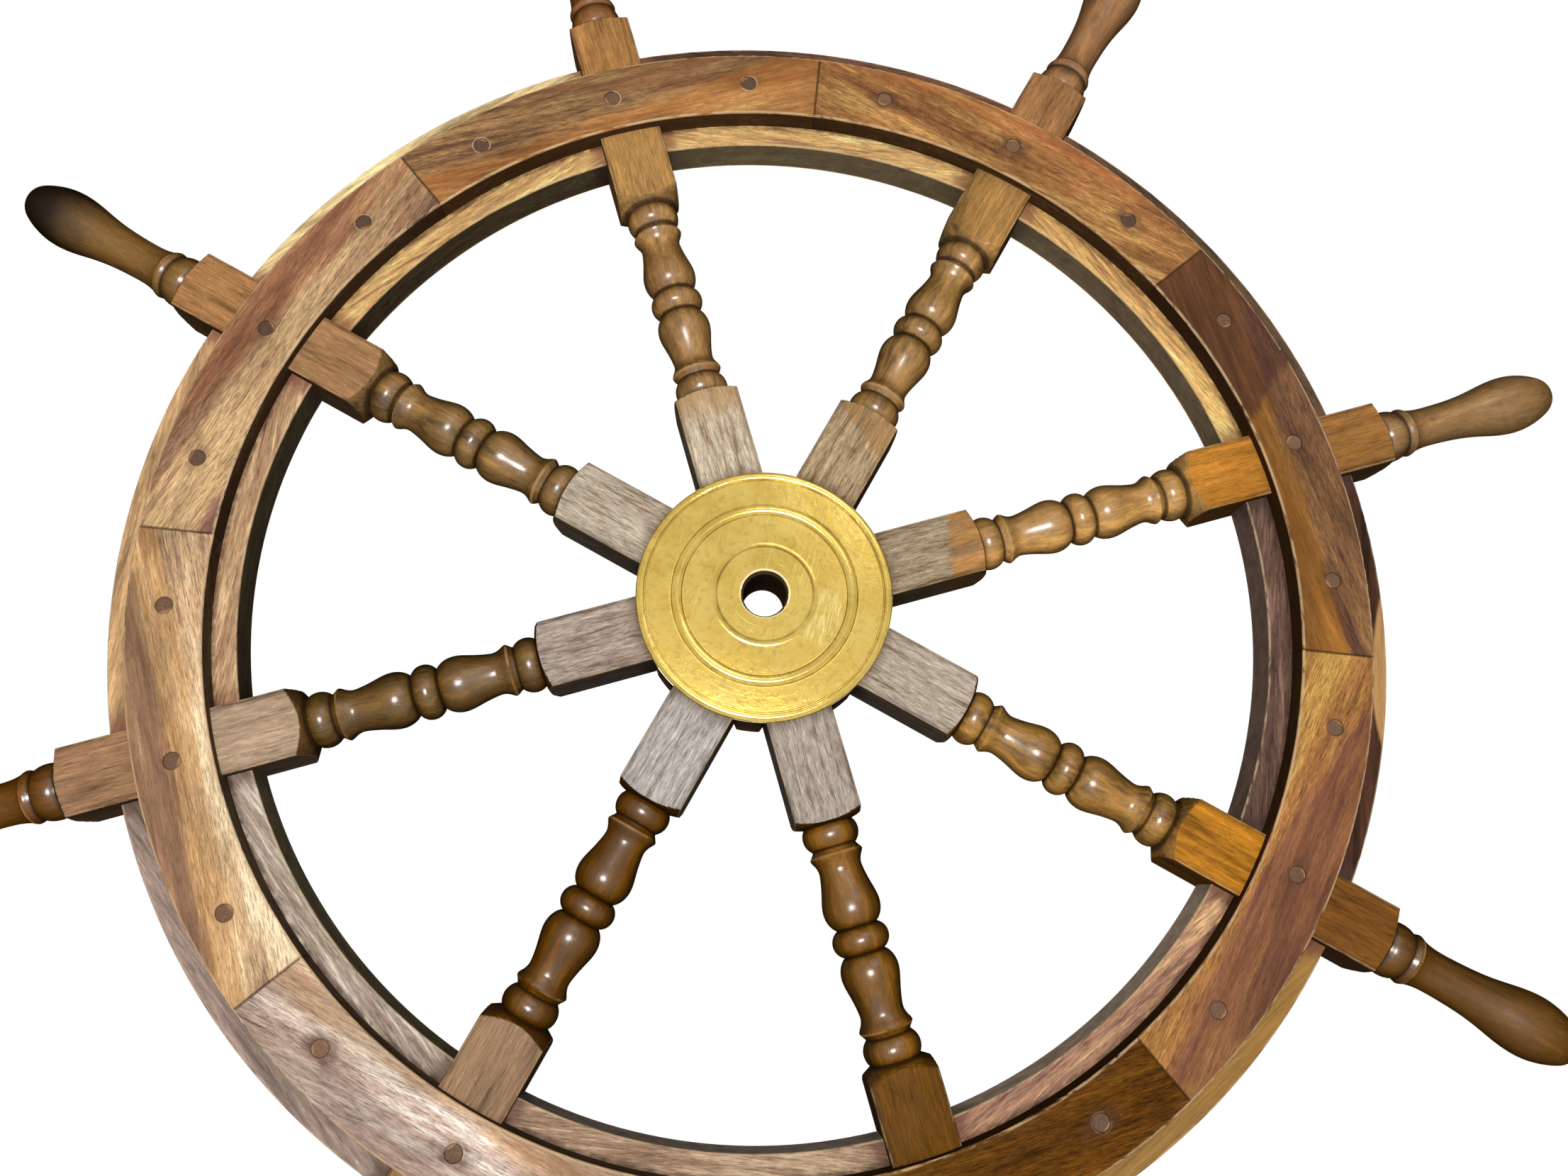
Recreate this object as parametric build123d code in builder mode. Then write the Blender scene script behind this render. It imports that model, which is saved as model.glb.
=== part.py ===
from build123d import *
import os
from math import cos, radians, sin

# A wooden ship's wheel with eight turned spokes, built up from sawn segments and faced
# with brass at the hub. Millimetres. The wheel stands in the XZ plane and turns about Y.
# Its front faces -Y, the king spoke points to +Z, and the origin is the wheel's centre.
# Radii are measured from the wheel's centre, unless a name says otherwise.

# Driving dimensions of the whole wheel
spoke_count = 8
spoke_pitch = 360 / spoke_count
wheel_radius = 457.2
bore_radius = 11.0

# The rim is three layers: a wide ring of felloes between two narrower face rings. The face
# rings' segments and their dowels sit this many degrees off the spokes, clockwise in front.
felloe_inner = 263.0
felloe_outer = 325.0
felloe_thickness = 21.0
ring_inner = 275.0
ring_outer = 312.0
ring_thickness = 12.5
segment_shift = -1.0
joint_vee = 0.7
arris = 1.0
dowel_circle = (ring_inner + ring_outer) / 2
dowel_radius = 4.2
dowel_edge = 0.35
rim_half = felloe_thickness / 2 + ring_thickness

# One spoke is a single square stick, turned between and beyond its square blocks
stock = 34.0
stock_half = stock / 2
stock_arris = 0.9
swing = 24.3
turning_middle = 175.0
block_end = 350.0

# The baluster: distances from its middle along the spoke, and radii about the spoke's axis
bead_radius = 14.2
groove_at, groove_radius = 6.5, 10.2
bulb_at, bulb_radius = 16.0, 14.4
ogee_at, ogee_radius = 25.5, 12.5
cove_at, cove_radius = 34.0, 10.9
ring_at, ring_radius = 41.9, 13.4
quirk_at, quirk_radius = 45.7, 11.1
end_bead_at = 51.5
turning_half, turning_end_radius = 57.3, 12.6
hub_shoulder = [(58.6, stock_half), (61.8, swing)]
rim_shoulder = [(60.0, stock_half), (64.7, swing)]

# The handle, along the spoke beyond its outer block
handle_shoulder = [(-2.8, swing), (0.0, stock_half), (2.4, 12.9)]
handle_bead_at, handle_bead_radius = 358.0, 14.2
handle_quirk_at, handle_quirk_radius = 364.3, 12.4
handle_ring_at, handle_ring_radius = 367.6, 13.4
neck_at, neck_radius = 387.0, 10.7
swell_at, swell_radius = 411.0, 12.8
grip_at, grip_radius = 436.5, 15.8
tip_at, tip_radius = 451.0, 11.4

# The hub: wedge blocks fill between the spokes, and brass plates cover both faces
plate_radius = 65.0
back_plate_radius = 59.0
plate_hole_radius = 12.0
plate_thickness = 3.0
plate_boss_radius = 24.4
plate_boss_height = 4.6
plate_bead = (42.0, 47.0)
plate_bead_height = 3.7
plate_rim_groove = 60.6
plate_groove = 0.3
wedge_chamfer = 2.4


def along_spoke(angle):
    """The wheel's plane, with x out along this angle clockwise from +Z and z to the front."""
    turn = radians(angle)
    return Plane(origin=(0, 0, 0), x_dir=(sin(turn), 0, cos(turn)), z_dir=(0, -1, 0))


def across_spoke(angle):
    """A plane through the wheel's axis, square to the spoke at this angle."""
    turn = radians(angle)
    return Plane(origin=(0, 0, 0), x_dir=(0, 1, 0), z_dir=(sin(turn), 0, cos(turn)))


def sector(inner, outer, start, end):
    """A filled ring sector between two radii and two angles, in the current sketch."""
    with BuildLine() as outline:
        CenterArc((0, 0), outer, start, end - start)
        CenterArc((0, 0), inner, start, end - start)
        for angle in (start, end):
            Line((inner * cos(radians(angle)), inner * sin(radians(angle))),
                 (outer * cos(radians(angle)), outer * sin(radians(angle))))
    make_face(outline.edges())


def cut_socket(angle):
    """Cuts the seat of the square spoke at this angle out of the current part."""
    with BuildSketch(across_spoke(angle)) as seat:
        Rectangle(stock, stock)
    extrude(seat.sketch, amount=block_end, mode=Mode.SUBTRACT)


def dowel_sketch(angle):
    """The circle of one dowel on the back of the rim, at this angle of its face ring segment."""
    with BuildSketch(along_spoke(angle + segment_shift).offset(-rim_half)) as circle:
        with Locations((dowel_circle, 0)):
            Circle(dowel_radius)
    return circle.sketch


def drill(angle):
    """Drills one dowel hole right through the rim, at this angle."""
    extrude(dowel_sketch(angle), amount=2 * rim_half, mode=Mode.SUBTRACT)


def half_baluster(way):
    """Draws half of the baluster from its middle bead, outwards for 1 and inwards for -1."""
    def at(distance, radius):
        return (turning_middle + way * distance, radius)

    ThreePointArc(at(0, bead_radius), at(0.55 * groove_at, 0.935 * bead_radius),
                  at(groove_at, groove_radius))
    Spline([at(groove_at, groove_radius), at(bulb_at, bulb_radius), at(ogee_at, ogee_radius),
            at(cove_at, cove_radius), at(ring_at, ring_radius)],
           tangents=[(way, 1.3), (way, 0.55)])
    Line(at(ring_at, ring_radius), at(quirk_at, quirk_radius))
    ThreePointArc(at(quirk_at, quirk_radius), at(end_bead_at, bead_radius),
                  at(turning_half, turning_end_radius))
    shoulder = rim_shoulder if way > 0 else hub_shoulder
    ThreePointArc(at(turning_half, turning_end_radius), at(*shoulder[0]), at(*shoulder[1]))


def handle_line():
    """Draws the outer shoulder and the handle, from the square block to the tip."""
    corner, face, foot = [(block_end + along, radius) for along, radius in handle_shoulder]
    bead = (handle_bead_at, handle_bead_radius)
    quirk = (handle_quirk_at, handle_quirk_radius)
    ring = (handle_ring_at, handle_ring_radius)
    ThreePointArc(corner, face, foot)
    ThreePointArc(foot, bead, quirk)
    Line(quirk, ring)
    Spline([ring, (neck_at, neck_radius), (swell_at, swell_radius), (grip_at, grip_radius),
            (tip_at, tip_radius), (wheel_radius, 0)], tangents=[(1, -0.55), (0, -1)])


def spoke(name, angle):
    """One stick: mitred root, square block, baluster, square block and handle."""
    lathe = Plane(origin=(0, 0, 0), x_dir=along_spoke(angle).x_dir, z_dir=along_spoke(angle).y_dir)
    with BuildPart() as stick:
        with BuildSketch(lathe):
            with BuildLine():
                hub_corner = (turning_middle - hub_shoulder[1][0], swing)
                rim_corner = (turning_middle + rim_shoulder[1][0], swing)
                Polyline((wheel_radius, 0), (0, 0), (0, swing), hub_corner)
                half_baluster(-1)
                half_baluster(1)
                Line(rim_corner, (block_end + handle_shoulder[0][0], swing))
                handle_line()
            make_face()
        revolve(axis=Axis((0, 0, 0), along_spoke(angle).x_dir))
        with BuildSketch(across_spoke(angle)):
            RectangleRounded(stock, stock, stock_arris)
        extrude(amount=wheel_radius, mode=Mode.INTERSECT)
        with BuildSketch(along_spoke(angle).offset(-stock_half)):
            sector(bore_radius, wheel_radius + stock, -spoke_pitch / 2, spoke_pitch / 2)
        extrude(amount=stock, mode=Mode.INTERSECT)
        drill(angle)
    export(stick, name)


def face_ring_segment(name, angle, way):
    """A sawn segment of the front (1) or back (-1) ring, housed over the spoke at its middle."""
    start = angle - spoke_pitch / 2 + segment_shift
    section = Plane((0, 0, 0), x_dir=along_spoke(start).x_dir, z_dir=along_spoke(start).y_dir)
    with BuildPart() as segment:
        with BuildSketch(section) as bar:
            with Locations((dowel_circle, -way * (rim_half - ring_thickness / 2))):
                Rectangle(ring_outer - ring_inner, ring_thickness)
            outer_corners = bar.vertices().sort_by(Axis.Y, reverse=way < 0)[:2]
            fillet(outer_corners, arris)
        revolve(axis=Axis.Y, revolution_arc=spoke_pitch)
        cut_socket(angle)
        for step in (-1, 0, 1):
            drill(angle + step * spoke_pitch / 3)
        for end in (start, start + spoke_pitch):
            with BuildSketch(across_spoke(end)):
                with Locations((-way * rim_half, 0)):
                    Rectangle(joint_vee, joint_vee, rotation=45)
            extrude(amount=wheel_radius, mode=Mode.SUBTRACT)
    export(segment, name)


def felloe(name, angle):
    """A middle-layer piece of the rim that fills from the spoke at this angle to the next."""
    middle = angle + spoke_pitch / 2
    with BuildPart() as piece:
        with BuildSketch(along_spoke(middle).offset(-felloe_thickness / 2)):
            sector(felloe_inner, felloe_outer, -spoke_pitch / 2, spoke_pitch / 2)
        extrude(amount=felloe_thickness)
        fillet(piece.edges().filter_by(GeomType.CIRCLE), arris)
        cut_socket(angle)
        cut_socket(angle + spoke_pitch)
        for step in (1, 2):
            drill(angle + step * spoke_pitch / 3)
    export(piece, name)


def hub_wedge(name, angle):
    """A block that fills the hub from the spoke at this angle to the next."""
    middle = angle + spoke_pitch / 2
    with BuildPart() as wedge:
        with BuildSketch(along_spoke(middle).offset(-stock_half)):
            sector(stock_half, plate_radius, -spoke_pitch / 2, spoke_pitch / 2)
        extrude(amount=stock)
        cut_socket(angle)
        cut_socket(angle + spoke_pitch)
        chamfer(wedge.edges().filter_by(Axis.Y).sort_by(lambda edge: edge.center().length)[-2:],
                wedge_chamfer)
    export(wedge, name)


def dowels(name, angles):
    """Turned pins, driven right through the rim at these angles."""
    with BuildPart() as pins:
        for angle in angles:
            extrude(dowel_sketch(angle), amount=2 * rim_half)
        ends = pins.faces().filter_by(Axis.Y).edges()
        chamfer(ends, dowel_edge)
    export(pins, name)


def front_plate():
    """The turned brass plate: eased rim, groove, flat, half-round bead, dish and boss."""
    bead_start, bead_end = plate_bead
    flat = plate_thickness
    low = flat - plate_groove
    boss = plate_boss_height
    hole = plate_hole_radius
    scribed = hole + 5
    with BuildPart() as plate:
        with BuildSketch(Plane(origin=(0, -stock_half, 0), x_dir=(1, 0, 0), z_dir=(0, 0, -1))):
            with BuildLine():
                Polyline((hole, boss - 0.5), (hole, 0), (plate_radius - 0.3, 0),
                         (plate_radius, 0.3), (plate_radius, flat - 1.0))
                ThreePointArc((plate_radius, flat - 1.0), (plate_radius - 1.0, flat),
                              (plate_rim_groove + 0.5, flat + 0.1))
                Polyline((plate_rim_groove + 0.5, flat + 0.1), (plate_rim_groove + 0.2, low),
                         (plate_rim_groove - 0.2, low), (plate_rim_groove - 0.5, flat),
                         (bead_end + 0.4, flat), (bead_end, low))
                ThreePointArc((bead_end, low), ((bead_start + bead_end) / 2, plate_bead_height),
                              (bead_start, low))
                Polyline((bead_start, low), (bead_start - 0.4, flat),
                         (plate_boss_radius + 2.6, flat))
                TangentArc((plate_boss_radius + 2.6, flat), (plate_boss_radius, boss - 0.4),
                           tangent=(-1, 0))
                Polyline((plate_boss_radius, boss - 0.4), (plate_boss_radius - 0.8, boss),
                         (scribed + 0.3, boss), (scribed, boss - 0.12),
                         (scribed - 0.3, boss), (hole + 0.5, boss), (hole, boss - 0.5))
            make_face()
        revolve(axis=Axis.Y)
    export(plate, "front_hub_plate")


def back_plate():
    """The plain brass plate behind the hub."""
    seat = Plane.XZ.offset(-stock_half - plate_thickness)
    with BuildPart() as plate:
        with BuildSketch(seat):
            Circle(back_plate_radius)
            Circle(plate_hole_radius, mode=Mode.SUBTRACT)
        extrude(amount=plate_thickness)
        outside = plate.faces().filter_by(Axis.Y).sort_by(Axis.Y)[-1]
        chamfer(outside.edges(), arris)
    export(plate, "back_hub_plate")


def export(builder, name):
    """Labels a finished piece and writes its STEP file."""
    builder.part.label = name
    export_step(builder.part, f"parts/{name}.step")


os.makedirs("parts", exist_ok=True)
for number in range(spoke_count):
    angle = number * spoke_pitch
    spoke(f"spoke_{number + 1}", angle)
    face_ring_segment(f"front_ring_{number + 1}", angle, 1)
    face_ring_segment(f"back_ring_{number + 1}", angle, -1)
    felloe(f"felloe_{number + 1}", angle)
    hub_wedge(f"hub_wedge_{number + 1}", angle)
spoke_angles = [number * spoke_pitch for number in range(spoke_count)]
dowels("spoke_dowels", spoke_angles)
dowels("felloe_dowels", [angle + step * spoke_pitch / 3 for angle in spoke_angles for step in (1, 2)])
front_plate()
back_plate()
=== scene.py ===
# %% [markdown]
# # A wooden ship's wheel
#
# This scene dresses a ship's steering wheel: eight turned spokes run from a brass-faced hub,
# through a rim of sawn segments, and out into handles. The solids come ready made from the
# frame, at their real size in metres. The wheel stands in the XZ plane, it turns about Y, its
# front faces -Y, and the king spoke points to +Z.
#
# Blender's share is the finish. The wood is a rosewood with pale sapwood and plum-dark
# heartwood, rubbed with varnish and worn by hands. No two pieces of it look alike, so each
# piece gets its own colours and its own place in the tree.

# %% Load the frame
import bpy
import math
from mathutils import Matrix, Vector


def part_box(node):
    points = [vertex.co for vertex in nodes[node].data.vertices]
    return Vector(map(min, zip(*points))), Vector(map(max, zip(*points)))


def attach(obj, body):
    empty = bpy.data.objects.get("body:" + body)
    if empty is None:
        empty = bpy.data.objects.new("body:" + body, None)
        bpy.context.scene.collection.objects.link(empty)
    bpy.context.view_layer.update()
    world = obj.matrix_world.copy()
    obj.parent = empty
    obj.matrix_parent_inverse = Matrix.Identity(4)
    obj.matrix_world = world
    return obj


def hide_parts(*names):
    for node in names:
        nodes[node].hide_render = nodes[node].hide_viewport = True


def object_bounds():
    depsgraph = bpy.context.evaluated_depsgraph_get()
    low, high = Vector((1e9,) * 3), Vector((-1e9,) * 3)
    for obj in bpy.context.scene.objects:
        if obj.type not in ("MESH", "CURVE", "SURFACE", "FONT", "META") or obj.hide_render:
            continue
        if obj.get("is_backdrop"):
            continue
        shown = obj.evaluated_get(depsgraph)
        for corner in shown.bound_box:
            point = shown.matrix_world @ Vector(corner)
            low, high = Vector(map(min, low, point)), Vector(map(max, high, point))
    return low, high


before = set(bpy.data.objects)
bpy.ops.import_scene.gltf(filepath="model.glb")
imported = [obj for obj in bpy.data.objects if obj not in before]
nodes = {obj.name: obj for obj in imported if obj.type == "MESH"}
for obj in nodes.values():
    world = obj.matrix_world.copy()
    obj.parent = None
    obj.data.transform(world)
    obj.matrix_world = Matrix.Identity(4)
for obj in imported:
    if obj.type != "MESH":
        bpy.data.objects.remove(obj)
cad_low, cad_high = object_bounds()
print(f"{len(nodes)} solids, {1000 * (cad_high.x - cad_low.x):.0f} mm over the handles")

# %% [markdown]
# ## The sizes that the finish needs
#
# Worn edges, dirt and varnish follow the wood's own edges, so the materials need to know where
# those are. Most sizes are read back from the solids, which keeps the finish on the wood if a
# size changes. The others repeat the wheel's own drawing.

# %% Sizes of the wheel
MM = 0.001
SPOKES = 8
PITCH = 2 * math.pi / SPOKES

wheel_radius = cad_high.z
rim_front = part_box("front_ring_1")[0].y
felloe_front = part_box("felloe_1")[0].y
ring_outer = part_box("front_ring_1")[1].z
ring_width, inner_lip, outer_lip = 37 * MM, 12 * MM, 13 * MM
ring_inner = ring_outer - ring_width
felloe_outer = ring_outer + outer_lip
felloe_inner = ring_inner - inner_lip
plate_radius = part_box("front_hub_plate")[1].x
stock_half = -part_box("hub_wedge_1")[0].y
segment_shift = math.radians(-1)
peg_circle = (ring_inner + ring_outer) / 2
peg_radius = 4.2 * MM
print(f"ring {1000 * ring_inner:.0f} to {1000 * ring_outer:.0f} mm, "
      f"stock {2000 * stock_half:.0f} mm")

# %% [markdown]
# ## The camera
#
# The wheel is seen from the front, from a little below and to the left of its hub, and the
# camera is rolled, so that the king spoke leans to the left. A camera looks along its own -Z.
# Tracking that axis to a target aims it, and a turn about the same axis rolls it.

# %% Camera
camera_place = Vector((-0.0633, -0.6266, -0.1381))
camera_target = Vector((0.0098, rim_front, -0.0003))
camera_roll = math.radians(-16.4)
camera_lens = 28.47

camera_data = bpy.data.cameras.new("camera")
camera_data.lens = camera_lens
camera_data.sensor_width = 36
camera = bpy.data.objects.new("camera", camera_data)
bpy.context.scene.collection.objects.link(camera)
aim = (camera_target - camera_place).to_track_quat("-Z", "Y").to_matrix().to_4x4()
camera.matrix_world = Matrix.Translation(camera_place) @ aim @ Matrix.Rotation(camera_roll, 4, "Z")
bpy.context.scene.camera = camera
print(f"camera {(camera_target - camera_place).length:.2f} m from the rim")

# %% [markdown]
# ## Short words for long node trees
#
# A finish such as varnished wood takes dozens of shader nodes. Written out in full, each one
# costs four lines, and the idea drowns. A bench is a node tree with a few short methods that
# add a node, join what goes into it and give back what comes out of it. The materials below
# then read as the sums that they are.

# %% A bench for node trees
class Bench:
    """A node tree, with short ways to add and join its nodes."""

    def __init__(self, tree):
        self.tree = tree

    def join(self, value, socket):
        if isinstance(value, bpy.types.NodeSocket):
            self.tree.links.new(value, socket)
        else:
            socket.default_value = value

    def add(self, kind, inputs=None, **settings):
        node = self.tree.nodes.new(kind)
        for name, value in settings.items():
            setattr(node, name, value)
        for name, value in (inputs or {}).items():
            self.join(value, node.inputs[name])
        return node

    def math(self, operation, *values):
        node = self.add("ShaderNodeMath", operation=operation)
        for number, value in enumerate(values):
            self.join(value, node.inputs[number])
        return node.outputs[0]

    def vector(self, operation, *values):
        node = self.add("ShaderNodeVectorMath", operation=operation)
        for number, value in enumerate(values):
            self.join(value, node.inputs["Scale" if operation == "SCALE" and number else number])
        return node.outputs["Value" if operation in ("LENGTH", "DISTANCE", "DOT_PRODUCT") else 0]

    def split(self, vector):
        return self.add("ShaderNodeSeparateXYZ", {0: vector}).outputs

    def combine(self, x, y, z):
        return self.add("ShaderNodeCombineXYZ", {0: x, 1: y, 2: z}).outputs[0]

    def step(self, value, start, end, low=0.0, high=1.0):
        """Goes smoothly from low to high while value goes from start to end."""
        inputs = {"Value": value, "From Min": start, "From Max": end, "To Min": low, "To Max": high}
        return self.add("ShaderNodeMapRange", inputs, interpolation_type="SMOOTHSTEP").outputs[0]

    def noise(self, place, scale, detail=2.0, roughness=0.5, distortion=0.0):
        """Cloudy noise at place. Scale is features per metre, along each axis."""
        spread = self.vector("MULTIPLY", place, scale if isinstance(scale, tuple) else (scale,) * 3)
        inputs = {"Vector": spread, "Scale": 1.0, "Detail": detail, "Roughness": roughness,
                  "Distortion": distortion}
        return self.add("ShaderNodeTexNoise", inputs).outputs[0]

    def blend(self, share, first, second, how="MIX"):
        """Mixes two colours. A share of 0 gives the first, and 1 the second."""
        node = self.add("ShaderNodeMix", data_type="RGBA", blend_type=how, clamp_result=False)
        for number, value in ((0, share), (6, first), (7, second)):
            self.join(value, node.inputs[number])
        return node.outputs[2]

    def dim(self, colour, factor):
        """A colour times a number."""
        return self.blend(1.0, colour, self.combine(factor, factor, factor), "MULTIPLY")

    def mix(self, share, first, second):
        """Mixes two numbers. A share of 0 gives the first, and 1 the second."""
        return self.math("MULTIPLY_ADD", share, self.math("SUBTRACT", second, first), first)

    def use(self, group, inputs):
        """Puts a node group in this tree and gives back its outputs."""
        return self.add("ShaderNodeGroup", inputs, node_tree=group).outputs


def new_group(name, inputs, outputs):
    """An empty shader group. Inputs are name: default, and a colour or a point is a tuple."""
    tree = bpy.data.node_groups.new(name, "ShaderNodeTree")
    for label, value in inputs.items():
        kind = {1: "NodeSocketFloat", 3: "NodeSocketVector", 4: "NodeSocketColor"}
        size = len(value) if isinstance(value, tuple) else 1
        made = tree.interface.new_socket(label, in_out="INPUT", socket_type=kind[size])
        made.default_value = value
    for label, kind in outputs.items():
        tree.interface.new_socket(label, in_out="OUTPUT", socket_type="NodeSocket" + kind)
    bench = Bench(tree)
    return bench, bench.add("NodeGroupInput").outputs, bench.add("NodeGroupOutput").inputs


def paint(red, green, blue):
    """A colour given as it looks on a screen, from 0 to 255, as the values that nodes take."""
    def to_linear(value):
        value /= 255
        return value / 12.92 if value <= 0.04045 else ((value + 0.055) / 1.055) ** 2.4
    return (to_linear(red), to_linear(green), to_linear(blue), 1.0)


print("bench ready")

# %% [markdown]
# ## The figure of the wood
#
# Wood is a bundle of fibres. Whatever its colour does, it does slowly along the grain and
# quickly across it. So one trick gives most of the figure: noise that is read at a place
# squeezed along the grain. Three sizes of it are laid over each other: broad growth bands,
# streaks a few millimetres wide, and single fibres. Short dark dashes are the open pores, and
# a softer mottle keeps the streaks from looking ruled.
#
# An image of real wood would be quicker, but it would run round the outside of each piece like
# wallpaper. Noise in space is solid: it goes through the piece, so the end grain, the side
# and the face agree where they meet.

# %% Wood figure group
figure, ins, outs = new_group(
    "wood figure",
    {"Place": (0.0, 0.0, 0.0), "Pale": (0.6, 0.4, 0.2, 1.0), "Middle": (0.3, 0.15, 0.06, 1.0),
     "Dark": (0.1, 0.05, 0.02, 1.0), "Contrast": 1.0, "Figure": 0.5, "Fibre": 1.7,
     "Mottle": 0.5, "Pores": 0.25, "Fineness": 1.0},
    {"Color": "Color", "Height": "Float"})
fine_place = figure.vector("SCALE", ins["Place"], ins["Fineness"])
bands = figure.noise(ins["Place"], (34, 34, 3.4), 3, 0.55, 0.7)
streaks = figure.noise(fine_place, (190, 190, 15), 3, 0.65, 0.5)
mottle = figure.noise(fine_place, (150, 150, 70), 3, 0.6, 0.4)
fibres = figure.noise(fine_place, (1000, 1000, 85), 3, 0.75, 0.3)
pores = figure.step(figure.noise(fine_place, (1150, 1150, 110), 1), 0.58, 0.68)
flecks = figure.step(figure.noise(fine_place, (900, 900, 330), 1), 0.63, 0.72)
tone = figure.math("MULTIPLY_ADD", streaks, figure.math("SUBTRACT", 1.0, ins["Figure"]),
                   figure.math("MULTIPLY", bands, ins["Figure"]))
tone = figure.math("MULTIPLY_ADD", figure.math("SUBTRACT", tone, 0.5), ins["Contrast"], 0.5)
colour = figure.blend(figure.step(tone, 0.34, 0.5), ins["Dark"], ins["Middle"])
colour = figure.blend(figure.step(tone, 0.5, 0.66), colour, ins["Pale"])
shade = figure.math("MULTIPLY_ADD", figure.math("SUBTRACT", fibres, 0.5), ins["Fibre"], 1.0)
shade = figure.math("MULTIPLY_ADD", figure.math("SUBTRACT", mottle, 0.5), ins["Mottle"], shade)
shade = figure.math("MAXIMUM", shade, 0.3)
open_pores = figure.math("MULTIPLY", pores, ins["Pores"])
shade = figure.math("MULTIPLY", shade, figure.math("SUBTRACT", 1.0, open_pores))
shade = figure.math("MULTIPLY", shade, figure.math("MULTIPLY_ADD", flecks, 0.2, 1.0))
colour = figure.dim(colour, shade)
figure.join(colour, outs["Color"])
height = figure.math("MULTIPLY_ADD", streaks, 0.5, figure.math("MULTIPLY", fibres, 0.5))
figure.join(figure.math("SUBTRACT", height, figure.math("MULTIPLY", pores, 0.5)), outs["Height"])
print(f"wood figure: {len(figure.tree.nodes)} nodes")

# %% [markdown]
# ## Scratches
#
# Sanding across the grain and years of handling leave fine straight marks that lie any way
# but along the grain. They are noise again, stretched out forty times as long as wide, turned
# by an angle, and cut off so high that only its crests are left.

# %% Scratch group
scratches, ins, outs = new_group(
    "scratches", {"Place": (0.0, 0.0, 0.0), "Angle": 0.6, "Amount": 0.5, "Fineness": 1.0},
    {"Mask": "Float"})
turned = scratches.add("ShaderNodeVectorRotate", {"Vector": ins["Place"], "Angle": ins["Angle"]},
                       rotation_type="Y_AXIS").outputs[0]
turned = scratches.vector("SCALE", turned, ins["Fineness"])
crests = scratches.noise(turned, (1500, 60, 36), 1, 0.5, 0.15)
patches = scratches.noise(ins["Place"], 55, 2)
limit = scratches.math("MULTIPLY_ADD", ins["Amount"], -0.16, 0.78)
mask = scratches.math("MULTIPLY", scratches.math("SUBTRACT", crests, limit), 14.0)
mask = scratches.math("MULTIPLY", mask, scratches.step(patches, 0.42, 0.6))
scratches.join(scratches.step(mask, 0.0, 1.0), outs["Mask"])
print(f"scratches: {len(scratches.tree.nodes)} nodes")

# %% [markdown]
# ## What every varnished piece shares
#
# A piece's own colours come first. Then the same few things happen to all of them: dirt
# settles, edges wear pale where hands rub them, and varnish wears from glossy to dull in
# patches. Each material starts from the same place, too: the object's coordinates, turned so
# that z runs along the grain, x across it, and y from front to back. GLOSS is how strongly
# the worn varnish on the flat faces mirrors.

# %% Helpers for the wood finishes
def new_finish(name):
    """A material with an empty bench and one shader on it."""
    material = bpy.data.materials.new(name)
    material.use_nodes = True
    bench = Bench(material.node_tree)
    bench.tree.nodes.clear()
    shader = bench.add("ShaderNodeBsdfPrincipled")
    bench.add("ShaderNodeOutputMaterial", {"Surface": shader.outputs[0]})
    return material, bench, shader


def varnish(bench, level, fade=4.0):
    """A gloss level that fades where the surface turns away, as on thin, worn varnish."""
    aside = bench.add("ShaderNodeLayerWeight", {"Blend": 0.5}).outputs["Facing"]
    facing = bench.math("SUBTRACT", 1.0, aside)
    return bench.math("MULTIPLY", bench.math("POWER", facing, fade), level)


def grain_place(bench, angle):
    """The object's coordinates, turned so that z runs along grain at this angle from up."""
    place = bench.add("ShaderNodeTexCoord").outputs["Object"]
    return bench.add("ShaderNodeMapping", {"Vector": place, "Rotation": (0, -angle, 0)}).outputs[0]


def own_tree(bench, place, number):
    """Moves the noise to a part of space that no other piece uses."""
    return bench.vector("ADD", place, (0.37 * number, 0.83 * number, 1.91 * number))


def near(bench, value, centre, reach):
    """1 where value is at centre, falling to 0 at reach from it."""
    away = bench.math("ABSOLUTE", bench.math("SUBTRACT", value, centre))
    return bench.step(away, reach * 0.25, reach, 1.0, 0.0)


def most(bench, *masks):
    """The largest of several masks."""
    result = masks[0]
    for mask in masks[1:]:
        result = bench.math("MAXIMUM", result, mask)
    return result


def marked(bench, distance, rows):
    """A mask of fine lines. A row is where a line lies and how wide it fades, in mm."""
    return most(bench, *[near(bench, distance, at * MM, reach * MM) for at, reach in rows])


def times(bench, *masks):
    """The product of several masks."""
    result = masks[0]
    for mask in masks[1:]:
        result = bench.math("MULTIPLY", result, mask)
    return result


def shades(colour, paler, darker):
    """Pale, middle and dark versions of one colour."""
    lift = [min(255, value * paler) for value in colour]
    drop = [value * darker for value in colour]
    return {"Pale": paint(*lift), "Middle": paint(*colour), "Dark": paint(*drop)}


def row_colours(row):
    """The three colours of a plank, from its row."""
    return {label: paint(*row[label.lower()]) for label in ("Pale", "Middle", "Dark")}


def stain(bench, colour, mask, share, tint):
    """Lays a tint over the colour where the mask is 1, as strongly as share says."""
    return bench.blend(bench.math("MULTIPLY", mask, share), colour, paint(*tint))


def figured(bench, place, colours, **character):
    """The figure of the wood at place. Character gives the group's numbers, such as Contrast."""
    return bench.use(figure.tree, {"Place": place, **colours, **character})


def scratched(bench, place, angle, amount):
    """A mask of fine straight marks at an angle to the grain."""
    inputs = {"Place": place, "Angle": angle, "Amount": amount}
    return bench.use(scratches.tree, inputs)["Mask"]


def to_edge(bench, radius, inner, outer):
    """How far a point lies inside the nearer of two circles round the hub."""
    return bench.math("MINIMUM", bench.math("SUBTRACT", radius, inner),
                      bench.math("SUBTRACT", outer, radius))


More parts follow.
